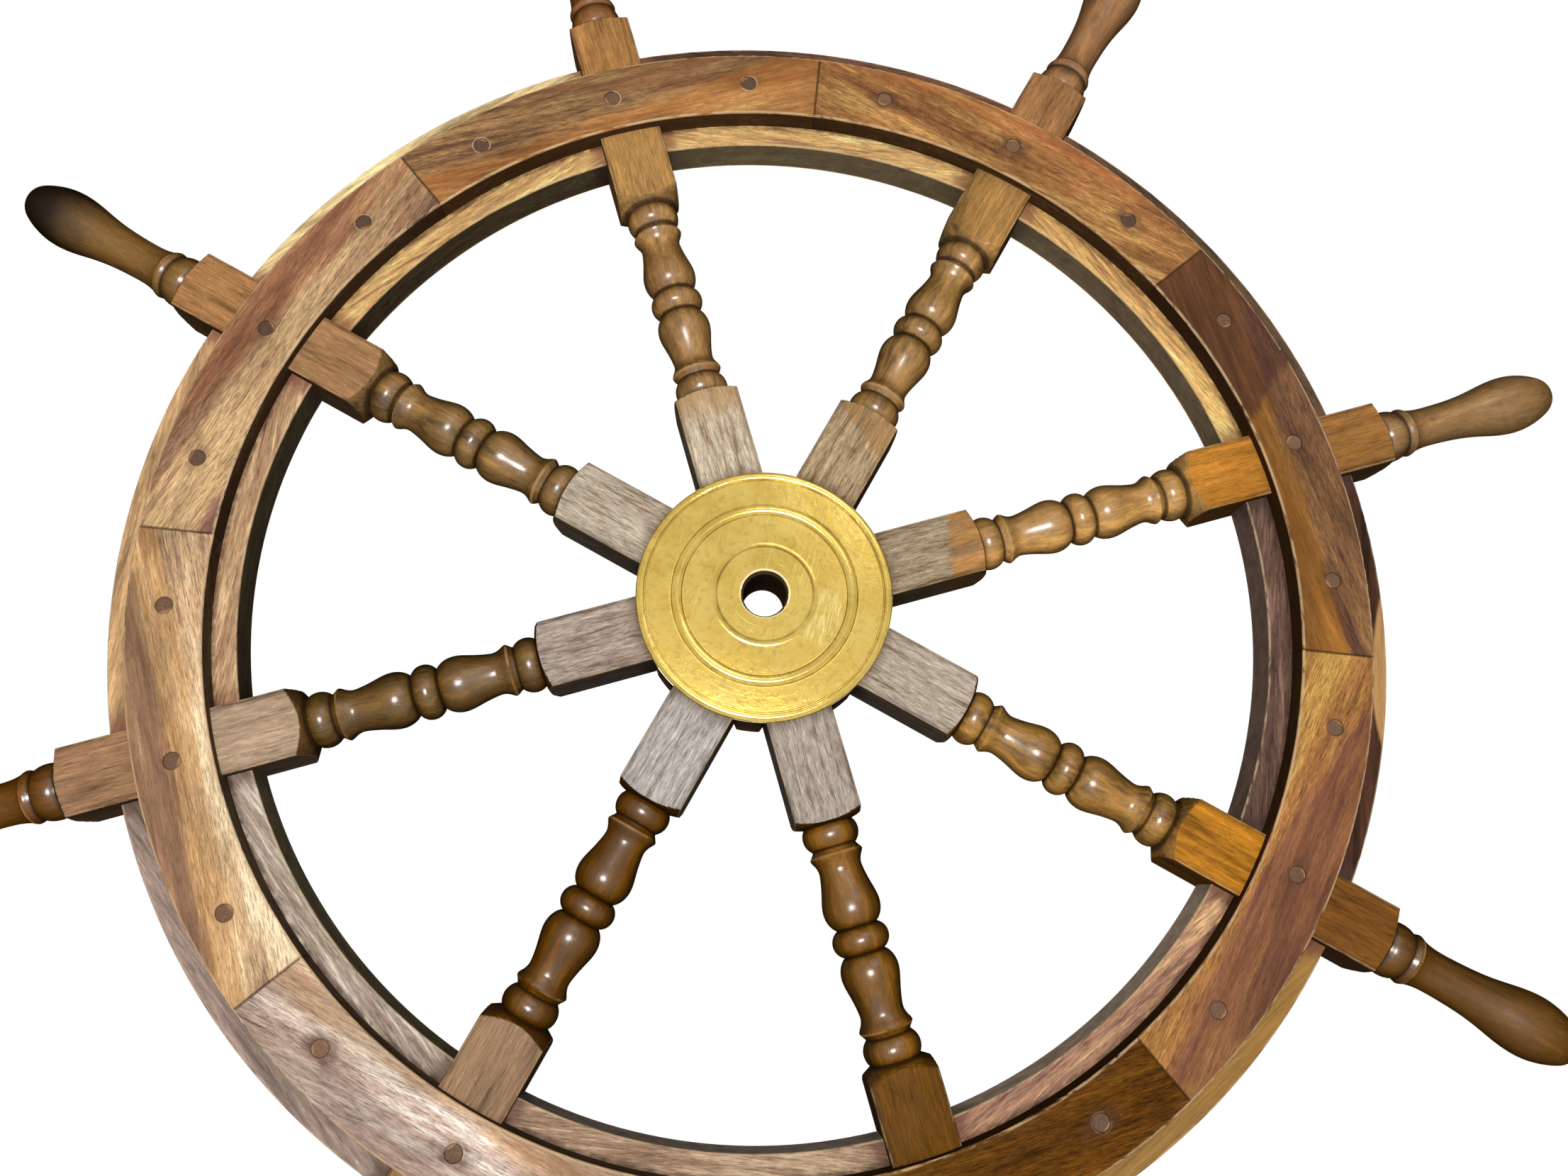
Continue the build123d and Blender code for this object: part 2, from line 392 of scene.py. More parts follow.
def dent(bench, shader, height, depth, strength):
    """Turns a height into the slant of the light on the surface."""
    inputs = {"Height": height, "Distance": depth, "Strength": strength}
    bench.join(bench.add("ShaderNodeBump", inputs).outputs[0], shader.inputs["Normal"])


def plank_surface(bench, shader, noise_place, height, marks, sawn, sawn_dull, dull):
    """Sawn sides without varnish, and faces of patchy gloss with fibres and scratches in them."""
    patches = bench.step(bench.noise(noise_place, (40, 40, 16), 3), 0.35, 0.65, *dull)
    bench.join(bench.math("MULTIPLY_ADD", sawn, sawn_dull, patches), shader.inputs["Roughness"])
    height = bench.math("SUBTRACT", height, bench.math("MULTIPLY", marks, 0.6))
    dent(bench, shader, height, 0.5 * MM, 0.7)


def dress(name, material):
    """Gives one solid of the frame its finish. The solid itself stays as it is."""
    nodes[name].data.materials.clear()
    nodes[name].data.materials.append(material)


GLOSS = 0.09
print("finish helpers ready")

# %% [markdown]
# ## Heartwood
#
# The plum-dark areas on the rim are heartwood. The segments are sawn as arcs from straight
# planks, so the heart's edge is a straight line in the plank, and on the arc it comes and goes:
# it shows in the middle of one segment and at the two ends of another. A zone is drawn the way
# a sawyer would: how far out in the plank its edge lies, how much the edge slopes and bends
# along the plank, and which side of it is dark.

# %% Heartwood zones
def zone_mask(bench, place, noise_place, level, slope=0.0, bend=0.0, side=1, soft=3, ragged=9):
    """1 beyond a line in the plank. Level, soft and ragged are in mm, and bend is per metre."""
    across, _, along = bench.split(place)
    line = bench.math("MULTIPLY_ADD", along, slope, level * MM)
    line = bench.math("MULTIPLY_ADD", bench.math("MULTIPLY", along, along), bend, line)
    beyond = bench.math("SUBTRACT", bench.math("MULTIPLY", across, -1.0), line)
    beyond = bench.math("MULTIPLY", beyond, float(side))
    wander = bench.noise(noise_place, (55, 55, 12), 2)
    fringe = bench.noise(noise_place, (420, 420, 15), 2)
    shift = bench.math("MULTIPLY_ADD", fringe, 0.5, bench.math("SUBTRACT", wander, 0.75))
    beyond = bench.math("MULTIPLY_ADD", shift, ragged * 2 * MM, beyond)
    return bench.step(beyond, -soft * MM, soft * MM)


def add_zones(bench, colour, place, noise_place, zones):
    """Lays each zone's colour over the wood, keeping some of the figure."""
    for tint, share, shape in zones:
        mask = zone_mask(bench, place, noise_place, **shape)
        stained = bench.blend(0.72, colour, paint(*tint))
        grain = bench.noise(noise_place, (500, 500, 22), 3, 0.6)
        dim = bench.math("MULTIPLY_ADD", grain, 1.1, 0.45)
        stained = bench.dim(stained, dim)
        colour = bench.blend(bench.math("MULTIPLY", mask, share), colour, stained)
    return colour


print("heartwood ready")

# %% [markdown]
# ## The face rings
#
# Eight segments make each face ring. Every one has its own row: the pale, middle and dark
# colour of its plank, how strong the marks round its pegs are, and the zones in it. The dark
# wood around a peg is old glue and polish that the grain drew in, and some pegs have a pale
# half-moon where the varnish chipped off the edge of the hole. Both need the distance to the
# nearest peg, which polar coordinates give: the angle is rounded to the nearest third of a
# segment. The same angle finds the two ends of a segment, where dirt has drawn a fine dark
# line along the joint.
#
# The long sides of a segment are bare saw-cut wood, painted dark with the shade that lies on
# them, and its edges are rubbed pale, the pale line partly a painted highlight.

# %% Rows for the ring segments
ring_rows = [
    dict(pale=(202, 173, 116), middle=(156, 120, 81), dark=(107, 77, 56), smudge=0.25, chips=0.4,
         zones=[((112, 68, 46), 0.8, dict(level=299, slope=-0.2, ragged=8)),
                ((196, 124, 52), 0.5, dict(level=284, slope=0.1, side=-1))]),
    dict(pale=(198, 154, 93), middle=(158, 110, 65), dark=(114, 72, 48), smudge=0.8, chips=0.0,
         zones=[((168, 92, 54), 0.5, dict(level=300, bend=-0.9)),
                ((92, 62, 56), 0.8, dict(level=250, slope=0.06, side=-1))]),
    dict(pale=(154, 114, 73), middle=(121, 86, 59), dark=(79, 53, 49), smudge=0.5, chips=0.0,
         zones=[((176, 116, 36), 0.7, dict(level=289, slope=-0.1, side=-1)),
                ((74, 46, 42), 0.96, dict(level=257, slope=-1.15, side=-1, soft=4, ragged=7))]),
    dict(pale=(209, 164, 89), middle=(170, 119, 67), dark=(119, 79, 55), smudge=0.3, chips=0.0,
         zones=[((116, 74, 58), 0.92, dict(level=278, slope=-0.12, bend=0.9, ragged=6))]),
    # Segment five is darker with painted shade at the foot of the wheel.
    dict(pale=(131, 88, 26), middle=(100, 62, 16), dark=(60, 36, 10), smudge=0.6, chips=0.1,
         gloss=0.3, zones=[((98, 66, 54), 0.85, dict(level=262, slope=0.06, side=-1))]),
    # Segment six's pale grey is partly a painted glare.
    dict(pale=(240, 231, 218), middle=(198, 174, 160), dark=(141, 112, 100), smudge=0.7, chips=0.4,
         zones=[((150, 112, 96), 0.6, dict(level=290, ragged=10)),
                ((196, 150, 92), 0.6, dict(level=283, slope=-0.12, side=-1, ragged=12))]),
    dict(pale=(235, 212, 176), middle=(199, 166, 128), dark=(140, 109, 90), smudge=0.15, chips=0.0,
         zones=[((200, 146, 72), 0.45, dict(level=280, ragged=6)),
                ((122, 88, 78), 0.92, dict(level=296, ragged=5, soft=2))]),
    dict(pale=(208, 174, 129), middle=(167, 128, 98), dark=(116, 84, 68), smudge=0.5, chips=0.2,
         zones=[((150, 92, 60), 0.6, dict(level=292, slope=-0.12)),
                ((104, 74, 70), 0.9, dict(level=262, slope=0.02, side=-1, ragged=6))]),
]
print(f"{len(ring_rows)} ring rows")

# %% Ring segment finish
def peg_marks(bench, place, noise_place):
    """The radius, masks of smudge, chips and gap round the nearest peg, and one of the joints."""
    across, _, along = bench.split(place)
    outwards = bench.math("MULTIPLY", across, -1.0)
    radius = bench.vector("LENGTH", bench.combine(outwards, along, 0.0))
    angle = bench.math("ARCTAN2", along, outwards)
    nearest = bench.math("SNAP", bench.math("ADD", angle, PITCH / 6), PITCH / 3)
    sideways = bench.math("MULTIPLY", bench.math("SUBTRACT", angle, nearest), radius)
    outwards = bench.math("SUBTRACT", radius, peg_circle)
    wander = bench.noise(noise_place, 160, 2)
    stretched = bench.combine(bench.math("MULTIPLY", sideways, 0.55), outwards, 0.0)
    reach = bench.math("MULTIPLY_ADD", wander, 9 * MM, bench.vector("LENGTH", stretched))
    smudge = bench.step(reach, 6 * MM, 12.5 * MM, 1.0, 0.0)
    distance = bench.vector("LENGTH", bench.combine(sideways, outwards, 0.0))
    rim = near(bench, distance, peg_radius + 0.45 * MM, 0.7 * MM)
    chip = bench.math("MULTIPLY", rim, bench.step(bench.noise(noise_place, 120, 1), 0.46, 0.56))
    hole = near(bench, distance, peg_radius + 0.1 * MM, 0.5 * MM)
    to_end = bench.math("SUBTRACT", PITCH / 2, bench.math("ABSOLUTE", angle))
    joint = bench.step(bench.math("MULTIPLY", to_end, radius), 0.35 * MM, 1.0 * MM, 1.0, 0.0)
    return radius, smudge, chip, hole, joint


def ring_finish(name, angle, number, row, facing):
    """Varnished plank with grain along the segment's chord. Facing is -1 in front, 1 behind."""
    material, bench, shader = new_finish(name)
    place = grain_place(bench, angle + math.pi / 2)
    noise_place = own_tree(bench, place, number)
    wood = figured(bench, noise_place, row_colours(row), Contrast=1.35, Figure=0.6, Fibre=2.8,
                   Fineness=1.7, Pores=0.35)
    colour = add_zones(bench, wood["Color"], place, noise_place, row["zones"])
    blotch = bench.step(bench.noise(noise_place, (42, 42, 12), 3, 0.6), 0.34, 0.66, 0.74, 1.2)
    colour = bench.dim(colour, blotch)

    radius, smudge, chip, hole, joint = peg_marks(bench, place, noise_place)
    colour = stain(bench, colour, smudge, row["smudge"], (84, 58, 46))
    colour = stain(bench, colour, hole, 0.35, (60, 42, 32))
    colour = stain(bench, colour, joint, 0.6, (58, 38, 28))

    depth = bench.math("MULTIPLY_ADD", bench.split(place)[1], -float(facing), -rim_front)
    edge = to_edge(bench, radius, ring_inner, ring_outer)
    rubbed = bench.noise(noise_place, (300, 300, 60), 3, 0.65)
    # The pale edge line is partly wear and partly a painted highlight.
    pale_edge = times(bench, bench.step(edge, 0.5 * MM, 1.5 * MM, 1.0, 0.0),
                 bench.step(depth, 0.5 * MM, 1.3 * MM, 1.0, 0.0),
                 bench.step(rubbed, 0.36, 0.52))
    dark_edge_band = bench.math("MULTIPLY", bench.step(edge, 1 * MM, 7 * MM, 1.0, 0.0),
                       bench.step(bench.noise(noise_place, (90, 90, 30), 3, 0.6), 0.45, 0.7))
    colour = stain(bench, colour, dark_edge_band, 0.3, (84, 58, 44))
    colour = stain(bench, colour, chip, row["chips"], (224, 200, 168))
    colour = stain(bench, colour, pale_edge, 0.75, (222, 192, 150))

    # The sawn sides are painted dark with the shade that lies on them.
    sawn = bench.step(depth, 0.9 * MM, 1.6 * MM)
    colour = stain(bench, colour, sawn, 0.9, (52, 39, 26))
    bench.join(colour, shader.inputs["Base Color"])
    gloss = bench.step(sawn, 0, 1, GLOSS * row.get("gloss", 1.0), 0.0)
    bench.join(varnish(bench, gloss), shader.inputs["Specular IOR Level"])
    marks = scratched(bench, noise_place, 0.9, 0.25)
    plank_surface(bench, shader, noise_place, wood["Height"], marks, sawn, 0.3, (0.36, 0.52))
    return material


for number in range(SPOKES):
    middle = number * PITCH + segment_shift
    front = ring_finish(f"front_ring_{number + 1}", middle, number, ring_rows[number], -1)
    dress(f"front_ring_{number + 1}", front)
    back_row = ring_rows[(3 * number + 2) % SPOKES]
    back = ring_finish(f"back_ring_{number + 1}", middle, number + 20, back_row, 1)
    dress(f"back_ring_{number + 1}", back)
print("16 ring segments finished")

# %% [markdown]
# ## The felloes
#
# The middle layer of the rim is wider than the face rings, so it shows as a lip on the inside
# and on the outside. Its eight felloes are whole pieces between the spokes, cut from brighter
# wood than the rings, all but one, which is dark heartwood. Where a felloe meets a spoke, the
# stain pooled and left a red-brown end. The walls towards the openings were never varnished,
# and each wall's colour has its shade painted in, which changes with where it lies on the
# wheel. Painted shade also darkens the lips along the foot of the ring.

# %% Felloe finish
# Each felloe's wall colour has its shade painted in, which changes with where it lies.
felloe_rows = [
    dict(pale=(255, 237, 163), middle=(219, 177, 116), dark=(154, 116, 87),
         end=(129, 84, 62), outer=(116, 83, 64), wall_and_shade=(91, 83, 67), zones=[]),
    dict(pale=(252, 250, 166), middle=(239, 193, 119), dark=(175, 129, 89),
         end=(136, 89, 67), outer=(93, 73, 54), wall_and_shade=(84, 77, 67), zones=[]),
    dict(pale=(143, 111, 97), middle=(99, 74, 64), dark=(58, 43, 39),
         end=(72, 57, 53), outer=(70, 44, 32), wall_and_shade=(97, 81, 71),
         zones=[((204, 160, 104), 1.0, dict(level=317, slope=0.02, bend=3.2, soft=1, ragged=2))]),
    dict(pale=(243, 201, 144), middle=(182, 139, 111), dark=(123, 89, 81),
         end=(114, 72, 60), outer=(96, 63, 29), wall_and_shade=(145, 132, 115),
         zones=[((196, 152, 86), 0.75, dict(level=300, ragged=4))]),
    dict(pale=(198, 171, 142), middle=(157, 127, 103), dark=(110, 84, 72),
         end=(101, 67, 55), outer=(130, 96, 62), wall_and_shade=(117, 109, 98), zones=[]),
    dict(pale=(225, 212, 199), middle=(171, 153, 138), dark=(114, 96, 85),
         end=(95, 74, 62), outer=(139, 121, 112), wall_and_shade=(92, 82, 57), zones=[]),
    dict(pale=(223, 190, 147), middle=(177, 141, 108), dark=(120, 90, 75),
         end=(138, 88, 71), outer=(206, 166, 121), wall_and_shade=(50, 49, 37), zones=[]),
    dict(pale=(245, 230, 158), middle=(211, 169, 110), dark=(145, 108, 83),
         end=(136, 86, 65), outer=(235, 206, 150), wall_and_shade=(34, 35, 34), zones=[]),
]


def felloe_finish(name, angle, number, row):
    """Varnished lips, red ends against the spokes, and bare walls with painted shade."""
    material, bench, shader = new_finish(name)
    place = grain_place(bench, angle + math.pi / 2)
    noise_place = own_tree(bench, place, number + 40)
    wood = figured(bench, noise_place, row_colours(row), Contrast=1.1, Figure=0.4, Fibre=2.1,
                   Fineness=1.6, Mottle=0.3)
    outside = figured(bench, noise_place, shades(row["outer"], 1.25, 0.66), Contrast=1.4,
                      Figure=0.5)
    across, back, along = bench.split(place)
    outwards = bench.math("MULTIPLY", across, -1.0)
    radius = bench.vector("LENGTH", bench.combine(outwards, along, 0.0))
    beyond_pegs = bench.step(radius, peg_circle - MM, peg_circle + MM)
    colour = bench.blend(beyond_pegs, wood["Color"], outside["Color"])
    colour = add_zones(bench, colour, place, noise_place, row["zones"])
    turn = bench.math("ABSOLUTE", bench.math("ARCTAN2", along, outwards))
    to_spoke = bench.math("SINE", bench.math("SUBTRACT", PITCH / 2, turn))
    flank = bench.math("SUBTRACT", bench.math("MULTIPLY", to_spoke, radius), stock_half)
    wander = bench.noise(noise_place, 130, 3, 0.6)
    flank = bench.math("MULTIPLY_ADD", wander, -14 * MM, flank)
    ends = bench.step(flank, -6 * MM, 5 * MM, 1.0, 0.0)
    colour = stain(bench, colour, ends, 0.75, row["end"])

    depth = bench.math("SUBTRACT", -felloe_front, bench.math("ABSOLUTE", back))
    # Painted shade: the lips darken along the foot of the ring.
    corner = most(bench, near(bench, radius, ring_inner, 3.2 * MM),
                  near(bench, radius, ring_outer, 1.6 * MM))
    dark_edge_band = bench.math("MULTIPLY", corner, bench.step(wander, 0.3, 0.6))
    colour = stain(bench, colour, dark_edge_band, 0.65, (66, 46, 36))
    edge = to_edge(bench, radius, felloe_inner, felloe_outer)
    rubbed = bench.noise(noise_place, (300, 300, 60), 3, 0.65)
    pale_edge = times(bench, bench.step(edge, 0.4 * MM, 1.3 * MM, 1.0, 0.0),
                 bench.step(depth, 0.5 * MM, 1.2 * MM, 1.0, 0.0),
                 bench.step(rubbed, 0.4, 0.55))
    colour = stain(bench, colour, pale_edge, 0.55, (226, 200, 158))
    sawn = bench.step(depth, 0.9 * MM, 1.6 * MM)
    # The wall colour holds painted shade.
    wall_and_shade = shades(row["wall_and_shade"], 1.1, 0.9)
    dusty_wall_and_shade = bench.blend(bench.step(wander, 0.3, 0.7), wall_and_shade["Dark"], wall_and_shade["Pale"])
    colour = bench.blend(bench.math("MULTIPLY", sawn, 0.9), colour, dusty_wall_and_shade)
    bench.join(colour, shader.inputs["Base Color"])
    gloss = bench.step(sawn, 0, 1, GLOSS, 0.0)
    bench.join(varnish(bench, gloss), shader.inputs["Specular IOR Level"])
    marks = scratched(bench, noise_place, 0.75, 0.45)
    plank_surface(bench, shader, noise_place, wood["Height"], marks, sawn, 0.35, (0.38, 0.54))
    return material


for number in range(SPOKES):
    name = f"felloe_{number + 1}"
    dress(name, felloe_finish(name, (number + 0.5) * PITCH, number, felloe_rows[number]))
print("8 felloes finished")

# %% [markdown]
# ## The outline of a turning
#
# A turner cuts one outline along the whole stick, so a spoke is one rule: at every distance
# along it, the wood is the lesser of the lathe's radius and the square stock. The solids
# already hold the lathe's radius, as rings of vertices, and reading it back from there keeps
# the finished spokes true to them. Long gaps between rings are filled with a curve that never
# swings past its neighbours, because a swing would look like a ripple in the varnish.

# %% Read the outline from the king spoke
swing = 24.3 * MM
hub_corner, rim_corner, handle_corner = 113.2 * MM, 239.7 * MM, 347.2 * MM
turning_middle = 175 * MM
block_end = 350 * MM
bore_radius = 11 * MM
row_step, block_gap = 1.6 * MM, 10 * MM
ring_step, tip_gap = 0.05 * MM, 0.12 * MM
thin_step, thin_bend = 0.8 * MM, 0.035 * MM


def read_rings(name):
    """The lathe's radius at each ring of vertices of an upright spoke, out along it."""
    rings = {}
    for vertex in nodes[name].data.vertices:
        out = vertex.co.z
        if hub_corner < out < rim_corner or out > handle_corner:
            across = Vector((vertex.co.x, vertex.co.y))
            rings.setdefault(round(out / ring_step), []).append(across.length)
    outline = [(ring_step * level, sum(found) / len(found))
               for level, found in sorted(rings.items())]
    return [point for point in outline if point[0] < wheel_radius - tip_gap]


def slopes(points):
    """A slope at each point that lets a cubic through them run without swinging past any."""
    steps = [(after[1] - before[1]) / (after[0] - before[0])
             for before, after in zip(points, points[1:])]
    inner = [2 * a * b / (a + b) if a * b > 0 else 0.0 for a, b in zip(steps, steps[1:])]
    return [steps[0]] + inner + [steps[-1]]


def fill_gaps(points, spacing):
    """Adds points on a cubic where neighbours lie further apart than spacing, save at a block."""
    filled = [points[0]]
    tilts = slopes(points)
    for number in range(1, len(points)):
        (start, low), (end, high) = points[number - 1], points[number]
        reach = end - start
        parts = math.ceil(reach / spacing) if reach < block_gap else 1
        for part in range(1, parts + 1):
            t = part / parts
            rise = (low * (1 + 2 * t) * (1 - t) ** 2 + high * t * t * (3 - 2 * t)
                    + tilts[number - 1] * reach * t * (1 - t) ** 2
                    - tilts[number] * reach * t * t * (1 - t))
            filled.append((start + reach * t, rise))
    return filled


def thin_out(points, spacing, bend):
    """Leaves out points that lie closer than spacing, where the outline is nearly straight."""
    kept = [points[0]]
    for point, after in zip(points[1:], points[2:]):
        before = kept[-1]
        share = (point[0] - before[0]) / max(after[0] - before[0], 1e-9)
        straight = before[1] + share * (after[1] - before[1])
        if point[0] - before[0] > spacing or abs(point[1] - straight) > bend:
            kept.append(point)
    return kept + [points[-1]]


rings = thin_out(fill_gaps(read_rings("spoke_1"), row_step), thin_step, thin_bend)
root = bore_radius * math.cos(PITCH / 2)
mitre_end = stock_half / math.tan(PITCH / 2)
root_shares, mitre_rows = (0.0, 0.12, 0.45, 0.9), (11, 18, 26, 34)
hub_rows, rim_rows = range(50, 113, 9), range(250, 345, 9)
head = [(root, share * stock_half) for share in root_shares] + [(root, swing)]
head += [(out * MM, swing) for out in mitre_rows] + [(mitre_end, swing)]
head += [(out * MM, swing) for out in hub_rows]
handle = [point for point in rings if point[0] > handle_corner]
turning = [point for point in rings if point[0] < rim_corner]
rim = [(out * MM, swing) for out in rim_rows]
outline = head + turning + rim + handle + [(wheel_radius, 0.0)]
print(f"outline of {len(outline)} points, {len(turning)} of them on the baluster")

# %% [markdown]
# ## A lathe made of nodes
#
# The tree starts from a flat grid with one row for each point of the outline. Each vertex
# looks up its row's distance and radius, and its column gives the angle around the stick. The
# columns crowd towards the four corners of the stock, where the surface turns quickest. The
# square is a rounded one, and the lathe's radius meets it in a smooth minimum, so the edges
# come out worn, as on the real wheel. A little seeded noise keeps the turnings from being
# perfectly round. The spokes' roots are mitred against each other, and hollowed by the bore.

# %% Tree of a turned stick
def new_tree(name, inputs):
    """An empty geometry tree. Inputs are name: (socket type, default)."""
    tree = bpy.data.node_groups.new(name, "GeometryNodeTree")
    for label, (kind, value) in inputs.items():
        made = tree.interface.new_socket(label, in_out="INPUT", socket_type="NodeSocket" + kind)
        if value is not None:
            made.default_value = value
    tree.interface.new_socket("Geometry", in_out="OUTPUT", socket_type="NodeSocketGeometry")
    bench = Bench(tree)
    return bench, bench.add("NodeGroupInput").outputs, bench.add("NodeGroupOutput").inputs[0]


def hand_over(bench, shape, sharpest, finish, result):
    """Shades a shape smooth but for edges that bend more than sharpest, and finishes it."""
    whole = bench.add("GeometryNodeRealizeInstances", {"Geometry": shape}).outputs[0]
    smooth = bench.add("GeometryNodeSetShadeSmooth", {"Geometry": whole}, domain="FACE").outputs[0]
    bend = bench.add("GeometryNodeInputMeshEdgeAngle").outputs["Unsigned Angle"]
    creased = bench.add("GeometryNodeSetShadeSmooth", {
        "Geometry": smooth, "Selection": bench.math("GREATER_THAN", bend, sharpest),
        "Shade Smooth": False}, domain="EDGE").outputs[0]
    finished = bench.add("GeometryNodeSetMaterial", {"Geometry": creased, "Material": finish})
    bench.join(finished.outputs[0], result)


lathe, ins, result = new_tree("turned stick", {
    "Outline": ("Object", None), "Rows": ("Int", 100), "Columns": ("Int", 80),
    "Stock half": ("Float", 0.017), "Bore": ("Float", 0.011), "Mitre": ("Float", 0.4142),
    "Corner": ("Float", 32.0), "Worn": ("Float", 0.0006), "Uneven": ("Float", 0.0002),
    "Seed": ("Int", 0), "Angle": ("Float", 0.0), "Finish": ("Material", None)})
last_row = lathe.math("SUBTRACT", ins["Rows"], 1.0)
grid = lathe.add("GeometryNodeMeshGrid", {
    "Size X": last_row, "Size Y": ins["Columns"], "Vertices X": ins["Rows"],
    "Vertices Y": lathe.math("ADD", ins["Columns"], 1.0)}).outputs["Mesh"]
here = lathe.split(lathe.add("GeometryNodeInputPosition").outputs[0])
row = lathe.math("ROUND", lathe.math("MULTIPLY_ADD", last_row, 0.5, here[0]))
column = lathe.math("ROUND", lathe.math("MULTIPLY_ADD", ins["Columns"], 0.5, here[1]))
source = lathe.add("GeometryNodeObjectInfo", {"Object": ins["Outline"]}).outputs["Geometry"]
look_up = lathe.add("GeometryNodeSampleIndex", {"Geometry": source, "Index": row},
                    data_type="FLOAT_VECTOR", domain="POINT")
lathe.join(lathe.add("GeometryNodeInputPosition").outputs[0], look_up.inputs["Value"])
out, radius, _ = lathe.split(look_up.outputs[0])

quarter = lathe.math("DIVIDE", ins["Columns"], 4.0)
face = lathe.math("ROUND", lathe.math("DIVIDE", column, quarter))
share = lathe.math("SUBTRACT", lathe.math("DIVIDE", column, quarter), face)
swung = lathe.math("MULTIPLY_ADD", lathe.math("ABSOLUTE", share), -2.0, 1.0)
swung = lathe.math("MULTIPLY_ADD", lathe.math("POWER", swung, 1.35), -0.5, 0.5)
share = lathe.math("MULTIPLY", lathe.math("SIGN", share), swung)
turn = lathe.math("MULTIPLY", lathe.math("ADD", face, share), math.pi / 2)
sideways, backwards = lathe.math("COSINE", turn), lathe.math("SINE", turn)

width = lathe.math("MINIMUM", lathe.math("MULTIPLY", out, ins["Mitre"]), ins["Stock half"])
narrowed = lathe.math("DIVIDE", width, ins["Stock half"])
sharp_corner, sharp_until, worn_from = 200.0, 34 * MM, 46 * MM
corner = lathe.mix(lathe.step(out, sharp_until, worn_from), sharp_corner, ins["Corner"])
flatness = lathe.math("ADD", lathe.math("POWER", lathe.math("ABSOLUTE", sideways), corner),
                      lathe.math("POWER", lathe.math("ABSOLUTE", backwards), corner))
square = lathe.math("POWER", flatness, lathe.math("DIVIDE", -1.0, corner))
square = lathe.math("MULTIPLY", square, ins["Stock half"])
ripple_place = lathe.combine(sideways, backwards, lathe.math("MULTIPLY", out, 60.0))
wobble = lathe.add("ShaderNodeTexNoise", {
    "Vector": ripple_place, "W": ins["Seed"], "Scale": 0.7, "Detail": 1.0},
    noise_dimensions="4D").outputs[0]
wobble = lathe.math("MULTIPLY", lathe.math("SUBTRACT", wobble, 0.5), ins["Uneven"])
lathed = lathe.math("ADD", radius, lathe.math("MULTIPLY", wobble, lathe.step(radius, 0.0, 0.008)))
around = lathe.math("SMOOTH_MIN", lathed, square, ins["Worn"])
around = lathe.math("MULTIPLY", lathe.math("MAXIMUM", around, 0.0), lathe.step(radius, 0.0, 1e-5))

across = lathe.math("MULTIPLY", lathe.math("MULTIPLY", around, sideways), narrowed)
hollow = lathe.math("SUBTRACT", lathe.math("MULTIPLY", ins["Bore"], ins["Bore"]),
                    lathe.math("MULTIPLY", across, across))
hollow = lathe.math("SQRT", lathe.math("MAXIMUM", hollow, 0.0))
depth = lathe.math("MULTIPLY", around, lathe.math("MULTIPLY", backwards, -1.0))
place = lathe.combine(across, depth, lathe.math("MAXIMUM", out, hollow))
moved = lathe.add("GeometryNodeSetPosition", {"Geometry": grid, "Position": place}).outputs[0]
closed = lathe.add("GeometryNodeMergeByDistance", {"Geometry": moved, "Distance": 2e-6}).outputs[0]
aimed = lathe.add("GeometryNodeTransform", {
    "Geometry": closed, "Rotation": lathe.combine(0.0, ins["Angle"], 0.0)}).outputs[0]
hand_over(lathe, aimed, math.radians(36), ins["Finish"], result)
print(f"turned stick: {len(lathe.tree.nodes)} nodes")

# %% Grow a piece from a tree
def grow(name, tree, inputs, replaced):
    """Runs a geometry tree once and keeps the result as a plain mesh, in place of solids."""
    piece = bpy.data.objects.new(name, bpy.data.meshes.new(name))
    bpy.context.scene.collection.objects.link(piece)
    modifier = piece.modifiers.new("grow", "NODES")
    modifier.node_group = tree
    sockets = {item.name: item.identifier for item in tree.interface.items_tree
               if item.in_out == "INPUT"}
    for label, value in inputs.items():
        modifier[sockets[label]] = value
    depsgraph = bpy.context.evaluated_depsgraph_get()
    mesh = bpy.data.meshes.new_from_object(piece.evaluated_get(depsgraph))
    piece.modifiers.remove(modifier)
    piece.data = mesh
    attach(piece, "root")
    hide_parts(*replaced)
    return piece


outline_mesh = bpy.data.meshes.new("outline")
outline_mesh.from_pydata([(out, radius, 0.0) for out, radius in outline], [], [])
outline_points = bpy.data.objects.new("outline", outline_mesh)
print("ready to turn")

# %% [markdown]
# ## The spokes
#
# A spoke is one stick with five zones along it: the block at the hub, the turned baluster, the
# rim block inside the rings, the rim block outside them, and the handle. The zones are told
# apart by two distances, how far out along the spoke a point is, and how close it is to a flat
# face of the square stock. The turnings are the glossiest wood on the wheel, and painted shade
# darkens them where they turn away. The hub blocks are grey, partly because polishing the brass
# over the years rubbed off their varnish and partly by a painted sheen, and the grey ends in a
# soft line where the polishing rag turned back. The sides of the blocks are painted dark with
# the shade that lies on them.

